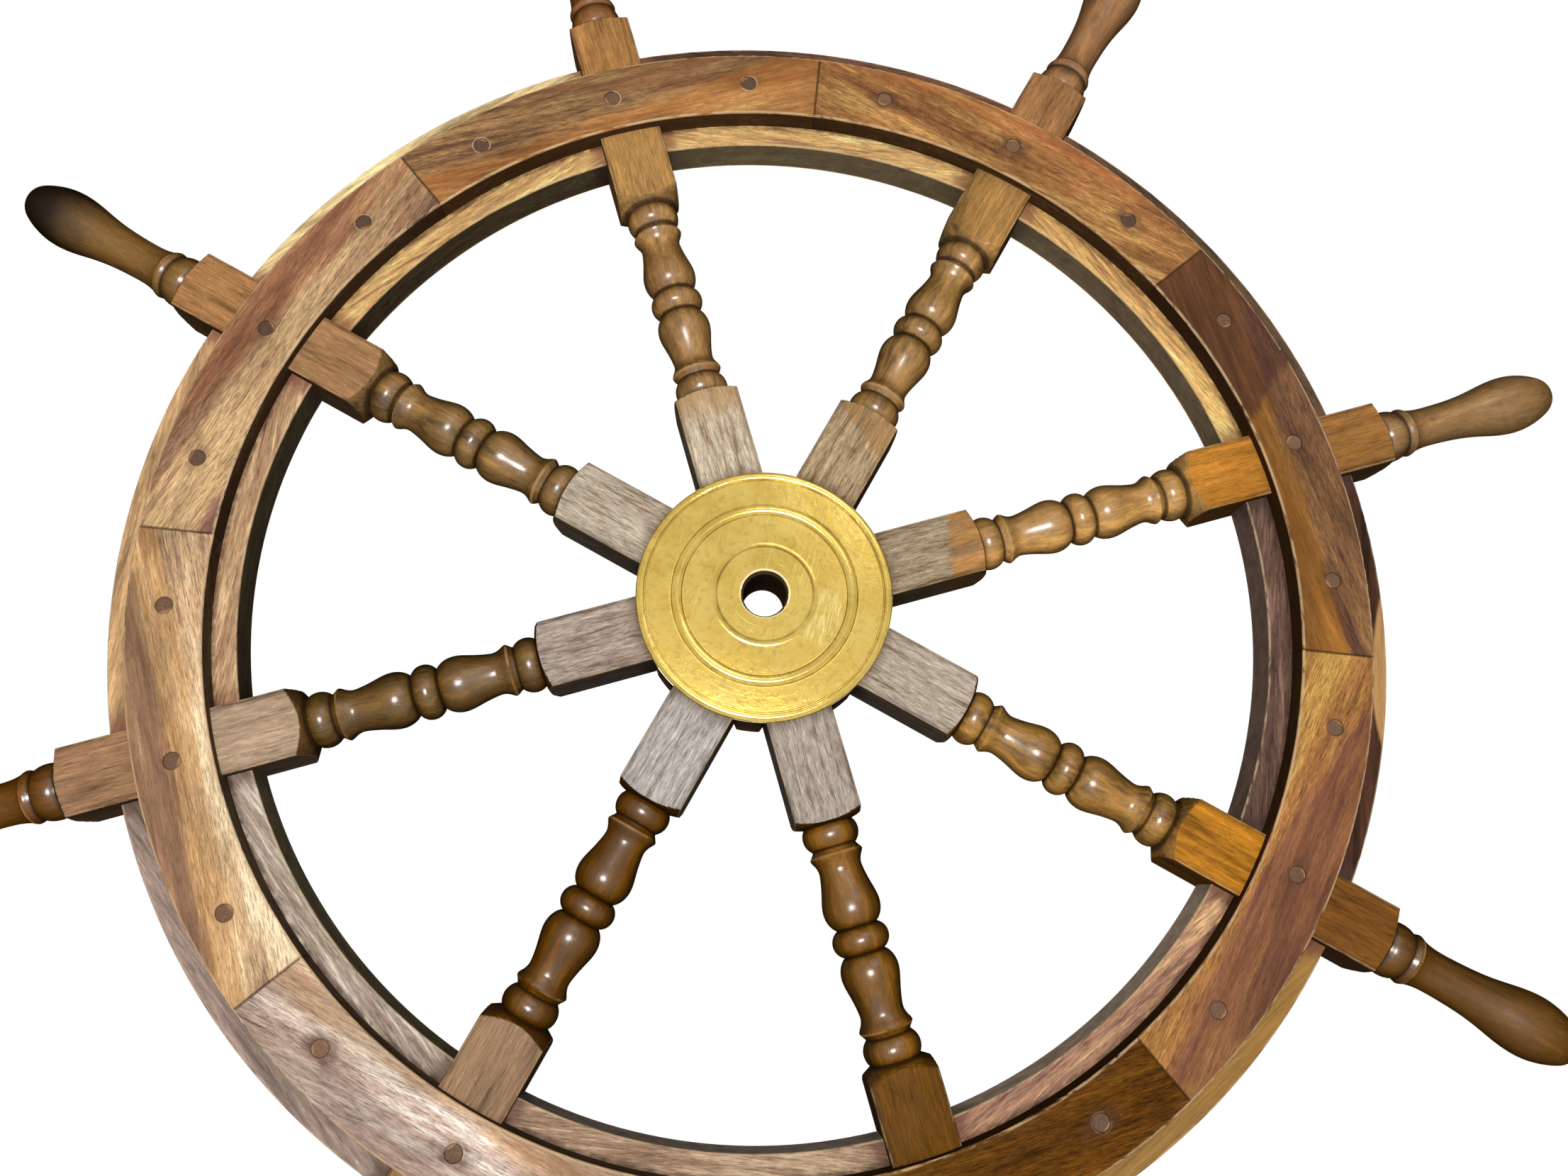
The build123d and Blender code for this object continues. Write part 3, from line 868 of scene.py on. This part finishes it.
# %% Rows for the spokes
# The grey hub colours are partly a painted sheen on the dry wood.
spoke_rows = [
    dict(turned=(158, 119, 70), hub=(191, 177, 156), rim=(174, 133, 79), outer=(166, 121, 72),
         handle=(142, 94, 50), dry_and_sheen_zone=(100, 0.0, 9), tip=0.0),
    dict(turned=(167, 127, 72), hub=(170, 148, 117), rim=(159, 120, 69), outer=(149, 109, 70),
         handle=(148, 108, 71), dry_and_sheen_zone=(100, -0.55, 2), tip=0.0),
    dict(turned=(176, 134, 76), hub=(157, 141, 116), rim=(182, 123, 48), outer=(149, 105, 57),
         handle=(145, 111, 70), dry_and_sheen_zone=(97, -0.2, 2), tip=0.0),
    dict(turned=(172, 127, 62), hub=(175, 163, 148), rim=(186, 124, 37), outer=(123, 80, 34),
         handle=(108, 72, 23), dry_and_sheen_zone=(130, 0.0, 2), tip=0.0),
    # Spoke five's rim block is darker with painted shade at the foot of the wheel.
    dict(turned=(115, 76, 16), hub=(165, 154, 144), rim=(100, 63, 0), outer=(124, 84, 38),
         handle=(108, 70, 28), dry_and_sheen_zone=(130, 0.0, 2), tip=0.0),
    dict(turned=(92, 57, 0), hub=(175, 169, 165), rim=(151, 120, 92), outer=(150, 112, 78),
         handle=(112, 72, 30), dry_and_sheen_zone=(130, 0.0, 2), tip=0.0),
    dict(turned=(104, 76, 34), hub=(163, 149, 137), rim=(174, 149, 125), outer=(159, 122, 91),
         handle=(110, 68, 12), dry_and_sheen_zone=(130, 0.0, 2), tip=0.0),
    dict(turned=(134, 102, 58), hub=(180, 168, 151), rim=(158, 120, 83), outer=(171, 125, 80),
         handle=(132, 97, 48), dry_and_sheen_zone=(130, 0.0, 2), tip=0.95),
]
print(f"{len(spoke_rows)} spoke rows")

# %% Spoke finish
baluster_grooves = ((6.6, 1.3), (45.9, 1.2), (57.8, 1.5))
handle_grooves = ((364.3, 1.3), (352.6, 1.3))
hub_part_end, handle_part_start, handle_wood_start = 150 * MM, 290 * MM, 360 * MM


def spoke_finish(name, angle, number, row):
    """One stick: grey hub block, glossy turnings, rim block and handle."""
    material, bench, shader = new_finish(name)
    place = grain_place(bench, angle)
    noise_place = own_tree(bench, place, number + 60)
    across, back, along = bench.split(place)
    side_x = bench.math("ABSOLUTE", across)
    side_y = bench.math("ABSOLUTE", back)
    outermost = bench.math("MAXIMUM", side_x, side_y)
    flat = bench.step(outermost, stock_half - 0.6 * MM, stock_half - 0.15 * MM)
    before_handle = bench.step(along, block_end - 1 * MM, block_end + 1 * MM, 1.0, 0.0)
    flat = bench.math("MULTIPLY", flat, before_handle)
    lathed = bench.math("SUBTRACT", 1.0, flat)

    turned = figured(bench, noise_place, shades(row["turned"], 1.28, 0.62), Contrast=1.1,
                     Figure=0.5, Fibre=1.1, Pores=0.15)
    handle = figured(bench, noise_place, shades(row["handle"], 1.25, 0.66), Contrast=0.8,
                     Figure=0.6, Fibre=0.8, Pores=0.15)
    rim_block = figured(bench, noise_place, shades(row["rim"], 1.15, 0.7), Contrast=1.1,
                        Figure=0.4, Pores=0.15)
    outer_block = figured(bench, noise_place, shades(row["outer"], 1.15, 0.7), Contrast=1.1,
                          Figure=0.4, Pores=0.15)
    red, green, blue = row["hub"]
    hub_colours = {**shades(row["hub"], 1.14, 0.7),
                   "Dark": paint(0.74 * red, 0.66 * green, 0.58 * blue)}
    hub_block = figured(bench, noise_place, hub_colours, Contrast=0.75, Figure=0.0, Fibre=2.8,
                        Mottle=0.7, Fineness=2.1)

    clouds = bench.noise(noise_place, (70, 70, 45), 3, 0.6)
    beyond_rim = bench.step(along, handle_part_start, handle_part_start + 10 * MM)
    lathe_colour = bench.blend(beyond_rim, turned["Color"], handle["Color"])
    smoky = bench.step(clouds, 0.5, 0.72, 0.0, 0.5)
    lathe_colour = bench.blend(smoky, lathe_colour, paint(84, 54, 28))
    blackened = bench.math("MULTIPLY_ADD", clouds, -0.03, along)
    tip = bench.step(blackened, wheel_radius - 74 * MM, wheel_radius - 36 * MM, 0.0, row["tip"])
    lathe_colour = bench.blend(tip, lathe_colour, paint(24, 17, 13))
    block_colour = bench.blend(beyond_rim, rim_block["Color"], outer_block["Color"])

    # The grey zone of a hub block is partly dry, unvarnished wood and partly a painted sheen.
    level, slant, soft = row["dry_and_sheen_zone"]
    veil_end = bench.math("MULTIPLY_ADD", across, slant, level * MM)
    inside_veil = bench.math("MULTIPLY_ADD", clouds, 5 * MM,
                             bench.math("SUBTRACT", veil_end, along))
    dry_and_sheen_zone = bench.step(inside_veil, -soft * MM, soft * MM)
    unpolished = bench.blend(0.35, rim_block["Color"], hub_block["Color"])
    at_hub = bench.step(along, hub_part_end, hub_part_end + 10 * MM, 1.0, 0.0)
    hub_colour = bench.blend(dry_and_sheen_zone, unpolished, hub_block["Color"])
    block_colour = bench.blend(at_hub, block_colour, hub_colour)
    polish_rim = bench.math("MULTIPLY_ADD", clouds, 9 * MM, bench.vector("LENGTH", place))
    polish_rim = bench.step(polish_rim, plate_radius + 3.5 * MM, plate_radius + 14 * MM, 0.7, 0.0)
    block_colour = bench.blend(polish_rim, block_colour, paint(62, 44, 30))
    # Painted shade: the turnings darken where they turn away from the eye, the handles less.
    facing = bench.add("ShaderNodeLayerWeight", {"Blend": 0.5}).outputs["Facing"]
    shadowed = times(bench, bench.step(facing, 0.08, 0.8, 0.0, 0.75),
                     bench.step(along, handle_wood_start, handle_wood_start + 20 * MM, 1.0, 0.65))
    lathe_colour = bench.blend(shadowed, lathe_colour, paint(22, 12, 4))
    colour = bench.blend(flat, lathe_colour, block_colour)

    # Dark lines in the lathe's grooves: partly dirt, partly painted shade.
    from_middle = bench.math("ABSOLUTE", bench.math("SUBTRACT", along, turning_middle))
    groove_dirt_and_shade = most(bench, marked(bench, from_middle, baluster_grooves),
                   marked(bench, along, handle_grooves))
    groove_dirt_and_shade = bench.math("MULTIPLY", groove_dirt_and_shade, lathed)
    colour = stain(bench, colour, groove_dirt_and_shade, 0.8, (44, 28, 16))
    # Pale lines on the ring crests: partly wear, partly a painted highlight.
    crests = most(bench, near(bench, from_middle, 42.6 * MM, 0.9 * MM),
                  near(bench, along, 368.2 * MM, 0.9 * MM))
    crests = times(bench, crests, lathed, bench.step(clouds, 0.35, 0.6))
    colour = stain(bench, colour, crests, 0.45, (206, 158, 100))

    # Painted shade: the sides of the blocks are darkened.
    sideways = bench.step(bench.math("SUBTRACT", side_x, side_y), 0.2 * MM, 1.0 * MM)
    painted_side_shade = bench.math("MULTIPLY", flat, sideways)
    colour = stain(bench, colour, painted_side_shade, 0.86, (42, 33, 25))
    corner = bench.math("MINIMUM", side_x, side_y)
    rubbed = bench.noise(noise_place, (260, 260, 60), 3, 0.65)
    arris = times(bench, bench.step(corner, stock_half - 1.3 * MM, stock_half - 0.5 * MM), flat,
                  bench.step(rubbed, 0.42, 0.58))
    smear = bench.math("MULTIPLY_ADD", rubbed, -3 * MM, corner)
    smear = bench.step(smear, stock_half - 4.5 * MM, stock_half - 2.2 * MM, 0.0, 0.5)
    smear = times(bench, smear, flat, bench.math("SUBTRACT", 1.0, arris))
    colour = bench.blend(smear, colour, paint(72, 50, 34))
    colour = stain(bench, colour, arris, 0.5, (214, 180, 134))
    # The bore is painted dark: bare wood, with painted shade in the hole.
    from_axis = bench.vector("LENGTH", bench.combine(across, 0.0, along))
    bore_wood_and_shade = bench.step(from_axis, bore_radius + 0.5 * MM, bore_radius + 3 * MM, 0.9, 0.0)
    colour = bench.blend(bore_wood_and_shade, colour, paint(44, 32, 22))
    bench.join(colour, shader.inputs["Base Color"])

    marks = most(bench, scratched(bench, noise_place, 0.8, 0.7),
                 scratched(bench, noise_place, -0.9, 0.5))
    marks = bench.math("MULTIPLY", marks, flat)
    dry = times(bench, flat, at_hub, dry_and_sheen_zone)
    gloss = bench.step(clouds, 0.35, 0.7, 0.24, 0.34)
    dull = bench.math("MULTIPLY_ADD", flat, 0.18, gloss)
    bench.join(bench.math("MULTIPLY_ADD", dry, 0.06, dull), shader.inputs["Roughness"])
    height = bench.math("MULTIPLY", turned["Height"], bench.math("MULTIPLY_ADD", flat, 0.8, 0.2))
    height = bench.math("SUBTRACT", height, bench.math("MULTIPLY", marks, 0.8))
    dent(bench, shader, height, 0.4 * MM, 0.7)
    clean = bench.math("SUBTRACT", 1.0, bench.math("MAXIMUM", painted_side_shade, bore_wood_and_shade))
    level = bench.math("MULTIPLY", clean, bench.mix(flat, 0.5, GLOSS))
    bench.join(varnish(bench, level, 8.0), shader.inputs["Specular IOR Level"])
    coat = bench.math("MULTIPLY", lathed, 0.6)
    bench.join(varnish(bench, coat, 6.0), shader.inputs["Coat Weight"])
    shader.inputs["Coat Roughness"].default_value = 0.2
    return material


# %% Turn the eight spokes
for number in range(SPOKES):
    name = f"spoke_{number + 1}"
    finish = spoke_finish(name, number * PITCH, number, spoke_rows[number])
    stick = grow(f"turned_{name}", lathe.tree, {
        "Outline": outline_points, "Rows": len(outline), "Columns": 80, "Stock half": stock_half,
        "Bore": bore_radius, "Mitre": math.tan(PITCH / 2), "Seed": number + 1,
        "Angle": number * PITCH, "Finish": finish}, [name])
    print(f"{stick.name}: {len(stick.data.polygons)} faces")

# %% [markdown]
# ## Wedges at the hub
#
# Between the spokes' roots sit eight small wedges. They were never varnished, and their wood is
# painted the darkest on the wheel, with the shade that lies between the spokes under the plate.

# %% Hub wedge finish
def wedge_finish(name, angle, number):
    """Bare wood, painted dark with its shade, and dust on it."""
    material, bench, shader = new_finish(name)
    place = own_tree(bench, grain_place(bench, angle), number + 80)
    # The dark colour is painted shade.
    wood = figured(bench, place, shades((70, 52, 36), 1.3, 0.6), Contrast=0.9, Figure=0.4)
    dust = bench.step(bench.noise(place, 120, 3, 0.6), 0.45, 0.65)
    bench.join(stain(bench, wood["Color"], dust, 0.3, (84, 74, 60)), shader.inputs["Base Color"])
    bench.join(bench.step(dust, 0.0, 1.0, 0.5, 0.75), shader.inputs["Roughness"])
    shader.inputs["Specular IOR Level"].default_value = 0.0
    dent(bench, shader, wood["Height"], 0.3 * MM, 0.6)
    return material


for number in range(SPOKES):
    name = f"hub_wedge_{number + 1}"
    dress(name, wedge_finish(name, (number + 0.5) * PITCH, number))
print("8 wedges finished")

# %% [markdown]
# ## The pegs
#
# A peg shows its end grain, which drinks stain and goes dark. There are many pegs and two
# pieces, so the peg's number has to come out of its place: the angle around the hub, counted
# in steps. White noise on that number makes some pegs darker than others, and gives each its
# own chip on one side.

# %% Peg finish
def peg_finish(name):
    """Stained end grain, for every peg on the wheel."""
    material, bench, shader = new_finish(name)
    place = bench.add("ShaderNodeTexCoord").outputs["Object"]
    x, _, z = bench.split(place)
    turn = bench.math("ARCTAN2", x, z)
    turn = bench.math("DIVIDE", bench.math("SUBTRACT", turn, segment_shift), PITCH / 3)
    which = bench.math("ROUND", turn)
    chance = bench.add("ShaderNodeTexWhiteNoise", {"W": which}, noise_dimensions="1D").outputs
    peg_angle = bench.math("MULTIPLY_ADD", which, PITCH / 3, segment_shift)
    peg_x = bench.math("MULTIPLY", bench.math("SINE", peg_angle), peg_circle)
    peg_z = bench.math("MULTIPLY", bench.math("COSINE", peg_angle), peg_circle)
    from_middle = bench.combine(bench.math("SUBTRACT", x, peg_x), 0.0,
                                bench.math("SUBTRACT", z, peg_z))
    reach = bench.vector("LENGTH", from_middle)
    wander = bench.noise(place, 420, 3, 0.6)

    colour = bench.blend(chance["Value"], paint(90, 70, 58), paint(130, 100, 76))
    pores = bench.step(bench.noise(place, 1500, 2), 0.42, 0.6, 0.8, 1.1)
    colour = bench.dim(colour, pores)
    chip_way = bench.math("MULTIPLY", chance["Value"], 40.0)
    chip_way = bench.combine(bench.math("SINE", chip_way), 0.0, bench.math("COSINE", chip_way))
    chipped = bench.vector("DOT_PRODUCT", from_middle, chip_way)
    chipped = bench.math("MULTIPLY_ADD", wander, 2 * MM, chipped)
    chipped = bench.step(chipped, peg_radius - 0.8 * MM, peg_radius, 0.0, 0.7)
    colour = bench.blend(chipped, colour, paint(176, 134, 92))
    rim = bench.step(bench.math("MULTIPLY_ADD", wander, 0.8 * MM, reach), peg_radius - 0.2 * MM,
                     peg_radius + 0.5 * MM, 0.0, 0.45)
    colour = bench.blend(rim, colour, paint(40, 28, 22))
    bench.join(colour, shader.inputs["Base Color"])
    bench.join(bench.step(wander, 0.3, 0.7, 0.32, 0.5), shader.inputs["Roughness"])
    bench.join(varnish(bench, GLOSS), shader.inputs["Specular IOR Level"])
    dent(bench, shader, wander, 0.4 * MM, 0.6)
    return material


pegs = peg_finish("peg end grain")
print("peg finish ready")

# %% [markdown]
# The pegs themselves are one cylinder, set out round a circle by a second tree. Its ends are
# pared to a small chamfer and a low dome, and each peg is turned and driven in by its own
# small amount.

# %% Tree of a circle of pegs
pegging, ins, result = new_tree("circle of pegs", {
    "Segments": ("Int", 8), "Each": ("Int", 1), "Offset": ("Float", 0.0),
    "Pitch": ("Float", 0.7854), "Gap": ("Float", 0.2618), "Circle": ("Float", 0.2935),
    "Radius": ("Float", 0.0042), "Half length": ("Float", 0.023), "Chamfer": ("Float", 0.00035),
    "Dome": ("Float", 0.00012), "Sunk": ("Float", 0.00015), "Seed": ("Int", 0),
    "Finish": ("Material", None)})
x, y, z = pegging.split(pegging.add("GeometryNodeInputPosition").outputs[0])
reach = pegging.math("DIVIDE", pegging.vector("LENGTH", pegging.combine(x, y, 0.0)), ins["Radius"])
share = pegging.math("DIVIDE", pegging.math("ABSOLUTE", z), ins["Half length"])
end = pegging.math("GREATER_THAN", share, 0.9)
neck = pegging.math("GREATER_THAN", share, 0.6)
pared = pegging.math("DIVIDE", ins["Chamfer"], ins["Radius"])
narrow = pegging.math("SUBTRACT", 1.0, pegging.math("MULTIPLY", end, pared))
hollow = pegging.math("MULTIPLY", pegging.math("MULTIPLY", reach, reach), ins["Dome"])
end_height = pegging.math("SUBTRACT", ins["Half length"], hollow)
neck_height = pegging.math("SUBTRACT", ins["Half length"], ins["Dome"])
neck_height = pegging.math("SUBTRACT", neck_height, ins["Chamfer"])
height = pegging.mix(neck, pegging.math("ABSOLUTE", z), pegging.mix(end, neck_height, end_height))
height = pegging.math("MULTIPLY", height, pegging.math("SIGN", z))
pared_place = pegging.combine(pegging.math("MULTIPLY", x, narrow),
                              pegging.math("MULTIPLY", y, narrow), height)
cylinder = pegging.add("GeometryNodeMeshCylinder", {
    "Vertices": 40, "Side Segments": 8, "Fill Segments": 3, "Radius": ins["Radius"],
    "Depth": pegging.math("MULTIPLY", ins["Half length"], 2.0)}, fill_type="TRIANGLE_FAN")
peg = pegging.add("GeometryNodeSetPosition", {
    "Geometry": cylinder.outputs["Mesh"], "Position": pared_place}).outputs[0]

number = pegging.add("GeometryNodeInputIndex").outputs[0]
segment = pegging.math("FLOOR", pegging.math("DIVIDE", number, ins["Each"]))
second = pegging.math("SUBTRACT", number, pegging.math("MULTIPLY", segment, ins["Each"]))
turn = pegging.math("MULTIPLY_ADD", segment, ins["Pitch"], ins["Offset"])
turn = pegging.math("MULTIPLY_ADD", second, ins["Gap"], turn)
spot = pegging.combine(pegging.math("MULTIPLY", pegging.math("SINE", turn), ins["Circle"]), 0.0,
                       pegging.math("MULTIPLY", pegging.math("COSINE", turn), ins["Circle"]))
spots = pegging.add("GeometryNodePoints", {
    "Count": pegging.math("MULTIPLY", ins["Segments"], ins["Each"]), "Position": spot}).outputs[0]
chance = pegging.add("ShaderNodeTexWhiteNoise", {"W": pegging.math("ADD", number, ins["Seed"])},
                     noise_dimensions="1D").outputs["Value"]
driven = pegging.math("DIVIDE", pegging.math("MULTIPLY", chance, ins["Sunk"]), ins["Half length"])
set_out = pegging.add("GeometryNodeInstanceOnPoints", {
    "Points": spots, "Instance": peg,
    "Rotation": pegging.combine(math.pi / 2, pegging.math("MULTIPLY", chance, 6.0), 0.0),
    "Scale": pegging.combine(1.0, 1.0, pegging.math("SUBTRACT", 1.0, driven))}).outputs[0]
hand_over(pegging, set_out, math.radians(30), ins["Finish"], result)
print(f"circle of pegs: {len(pegging.tree.nodes)} nodes")

# %% Drive the pegs
peg_rows = (("spoke_dowels", 1, segment_shift), ("felloe_dowels", 2, segment_shift + PITCH / 3))
for name, each, offset in peg_rows:
    driven_pegs = grow(name.replace("dowels", "pegs"), pegging.tree, {
        "Segments": SPOKES, "Each": each, "Offset": offset, "Pitch": PITCH, "Gap": PITCH / 3,
        "Circle": peg_circle, "Radius": peg_radius, "Half length": -rim_front, "Seed": 5 * each,
        "Finish": pegs}, [name])
    print(f"{driven_pegs.name}: {len(driven_pegs.data.polygons)} faces")

# %% [markdown]
# ## The brass
#
# The hub plates were turned on a lathe, so their fine lines run round the centre and their
# glare is drawn out across those lines. An anisotropic shader does that when its tangent runs
# round the axis. Years of polishing added straight scratches, denser on one side, and tarnish
# stays where the rag does not reach: in the groove under the rim and around the boss.

# %% Brass finish
plate_corners = ((60.6, 0.9), (41.7, 0.7), (47.5, 0.7), (24.5, 0.8))
boss_radius, field_radius = 26 * MM, 41 * MM


def brass_finish(name, number):
    """Turned brass, scratched by polishing, with tarnish in its corners."""
    material, bench, shader = new_finish(name)
    place = bench.add("ShaderNodeTexCoord").outputs["Object"]
    x, _, z = bench.split(place)
    radius = bench.vector("LENGTH", bench.combine(x, 0.0, z))
    here = own_tree(bench, place, number)

    clouds = bench.noise(here, 45, 4, 0.6)
    specks = bench.noise(here, 330, 3, 0.65)
    colour = bench.blend(bench.step(clouds, 0.36, 0.64), paint(214, 185, 100), paint(194, 164, 80))
    tarnish = bench.step(specks, 0.5, 0.68)
    colour = stain(bench, colour, tarnish, 0.3, (150, 118, 60))
    corners = bench.math("MULTIPLY", marked(bench, radius, plate_corners),
                         bench.step(clouds, 0.35, 0.6, 0.3, 1.0))
    colour = stain(bench, colour, corners, 0.6, (96, 72, 34))

    one_way = bench.math("MULTIPLY", scratched(bench, here, 2.6, 0.9), 0.18)
    other_way = bench.math("MULTIPLY", scratched(bench, here, -0.5, 0.6), 0.14)
    hatch_place = bench.add("ShaderNodeVectorRotate", {"Vector": here, "Angle": math.radians(62)},
                            rotation_type="Y_AXIS").outputs[0]
    hatch = bench.step(bench.noise(hatch_place, (90, 10, 1500), 2, 0.6, 0.6), 0.5, 0.6)
    hatched = bench.vector("DISTANCE", place, (26 * MM, -20 * MM, -20 * MM))
    hatched = times(bench, hatch, bench.step(hatched, 9 * MM, 19 * MM, 1.0, 0.0),
                    bench.step(radius, boss_radius, boss_radius + 3 * MM),
                    bench.step(radius, field_radius - 2 * MM, field_radius, 1.0, 0.0))
    brushed = most(bench, one_way, other_way, bench.math("MULTIPLY", hatched, 0.5))
    colour = bench.blend(brushed, colour, paint(250, 236, 170))
    worn = near(bench, radius, bore_radius + 1.4 * MM, 0.7 * MM)
    colour = stain(bench, colour, worn, 0.8, (255, 244, 200))
    bench.join(colour, shader.inputs["Base Color"])

    rings = bench.noise(bench.combine(radius, 0.0, 0.0), (2600, 1, 1), 3, 0.7)
    height = bench.math("MULTIPLY_ADD", rings, 0.3, bench.math("MULTIPLY", specks, 0.8))
    height = bench.math("MULTIPLY_ADD", bench.noise(here, 28, 1), 3.0, height)
    dent(bench, shader, height, 0.12 * MM, 0.6)
    rough = bench.step(clouds, 0.3, 0.7, 0.13, 0.17)
    bench.join(bench.math("MULTIPLY_ADD", corners, 0.2, rough), shader.inputs["Roughness"])
    tangent = bench.add("ShaderNodeTangent", direction_type="RADIAL", axis="Y")
    bench.join(tangent.outputs[0], shader.inputs["Tangent"])
    shader.inputs["Anisotropic"].default_value = 0.2
    shader.inputs["Metallic"].default_value = 1.0
    return material


for number, name in enumerate(("front_hub_plate", "back_hub_plate")):
    dress(name, brass_finish(name, number))
print("brass finished")

# %% [markdown]
# ## Light and floor
#
# The wheel is shown on plain white. A pale floor under its lowest handle catches the shadow.
# A soft lamp stands straight out in front of the wheel, a little low and left, like the
# ceiling light above a wheel lying on a table: it draws one highlight down each turning, and
# leaves the inner walls dark. A wider and weaker lamp, up and to the right, lays a sheen on
# the brass and along the varnish. A broad lamp behind serves the views from there. Floor and
# sky are plain white wherever the camera, a mirror or glass sees them, and dim as lights.

# %% Floor
floor_low = cad_low.z - 30 * MM
bpy.ops.mesh.primitive_plane_add(size=6, location=(0, 0, floor_low))
floor = bpy.context.object
floor.name = "floor"
floor_material, bench, shader = new_finish("floor")
output = bench.tree.nodes["Material Output"]
rays = bench.add("ShaderNodeLightPath").outputs
shade_catcher = bench.add("ShaderNodeBsdfDiffuse", {"Color": (0.8, 0.8, 0.8, 1.0)})
bench.tree.nodes.remove(shader)
lift = bench.add("ShaderNodeEmission", {"Color": (1, 1, 1, 1), "Strength": 0.78})
near_wheel = bench.add("ShaderNodeAddShader", {0: shade_catcher.outputs[0], 1: lift.outputs[0]})
white = bench.add("ShaderNodeEmission", {"Color": (1, 1, 1, 1), "Strength": 1.0})
away = bench.vector("LENGTH", bench.add("ShaderNodeTexCoord").outputs["Object"])
seen = bench.add("ShaderNodeMixShader", {0: bench.step(away, 0.5, 0.9), 1: near_wheel.outputs[0],
                                         2: white.outputs[0]})
mirrored = most(bench, rays["Is Camera Ray"], rays["Is Glossy Ray"], rays["Is Transmission Ray"])
which = bench.add("ShaderNodeMixShader", {0: mirrored, 1: shade_catcher.outputs[0],
                                          2: seen.outputs[0]})
bench.join(which.outputs[0], output.inputs["Surface"])
floor.data.materials.append(floor_material)
floor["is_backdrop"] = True
print(f"floor {1000 * (cad_low.z - floor_low):.0f} mm under the lowest handle")

# %% Sky
world = bpy.data.worlds.new("sky")
world.use_nodes = True
bpy.context.scene.world = world
bench = Bench(world.node_tree)
bench.tree.nodes.clear()
rays = bench.add("ShaderNodeLightPath").outputs
seen = most(bench, rays["Is Camera Ray"], rays["Is Glossy Ray"], rays["Is Transmission Ray"])
dim = bench.add("ShaderNodeBackground", {"Color": (1.0, 0.98, 0.95, 1.0), "Strength": 0.07})
plain = bench.add("ShaderNodeBackground", {"Color": (1, 1, 1, 1), "Strength": 1.0})
sky = bench.add("ShaderNodeMixShader", {0: seen, 1: dim.outputs[0], 2: plain.outputs[0]})
bench.add("ShaderNodeOutputWorld", {"Surface": sky.outputs[0]})
print("sky ready")

# %% Lamps
def add_lamp(name, place, target, size, power, colour=(1, 1, 1)):
    """A square soft lamp at place, facing target."""
    data = bpy.data.lights.new(name, "AREA")
    data.size = size
    data.energy = power
    data.color = colour
    lamp = bpy.data.objects.new(name, data)
    bpy.context.scene.collection.objects.link(lamp)
    turn = (Vector(target) - Vector(place)).to_track_quat("-Z", "Y").to_matrix().to_4x4()
    lamp.matrix_world = Matrix.Translation(place) @ turn
    return lamp


add_lamp("front lamp", (-0.18, -2.0, -0.2), (0, 0, 0), 0.5, 30.5, (1.0, 0.97, 0.93))
add_lamp("upper lamp", (1.0, -1.8, 1.15), (0, 0, 0), 1.4, 9.5, (1.0, 0.98, 0.96))
add_lamp("back lamp", (-0.9, 2.2, 0.8), (0, 0, 0), 1.6, 42)
print("3 lamps")

# %% [markdown]
# ## Last checks
#
# The whole wheel is measured once more, and both measures are written out, so that a change of
# size between the frame and the finished scene would be seen.

# %% Measure and finish
low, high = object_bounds()
bpy.context.scene.view_settings.view_transform = "Standard"
print(" x ".join(f"{1000 * (top - bottom):.0f}" for bottom, top in zip(low, high)), "mm")
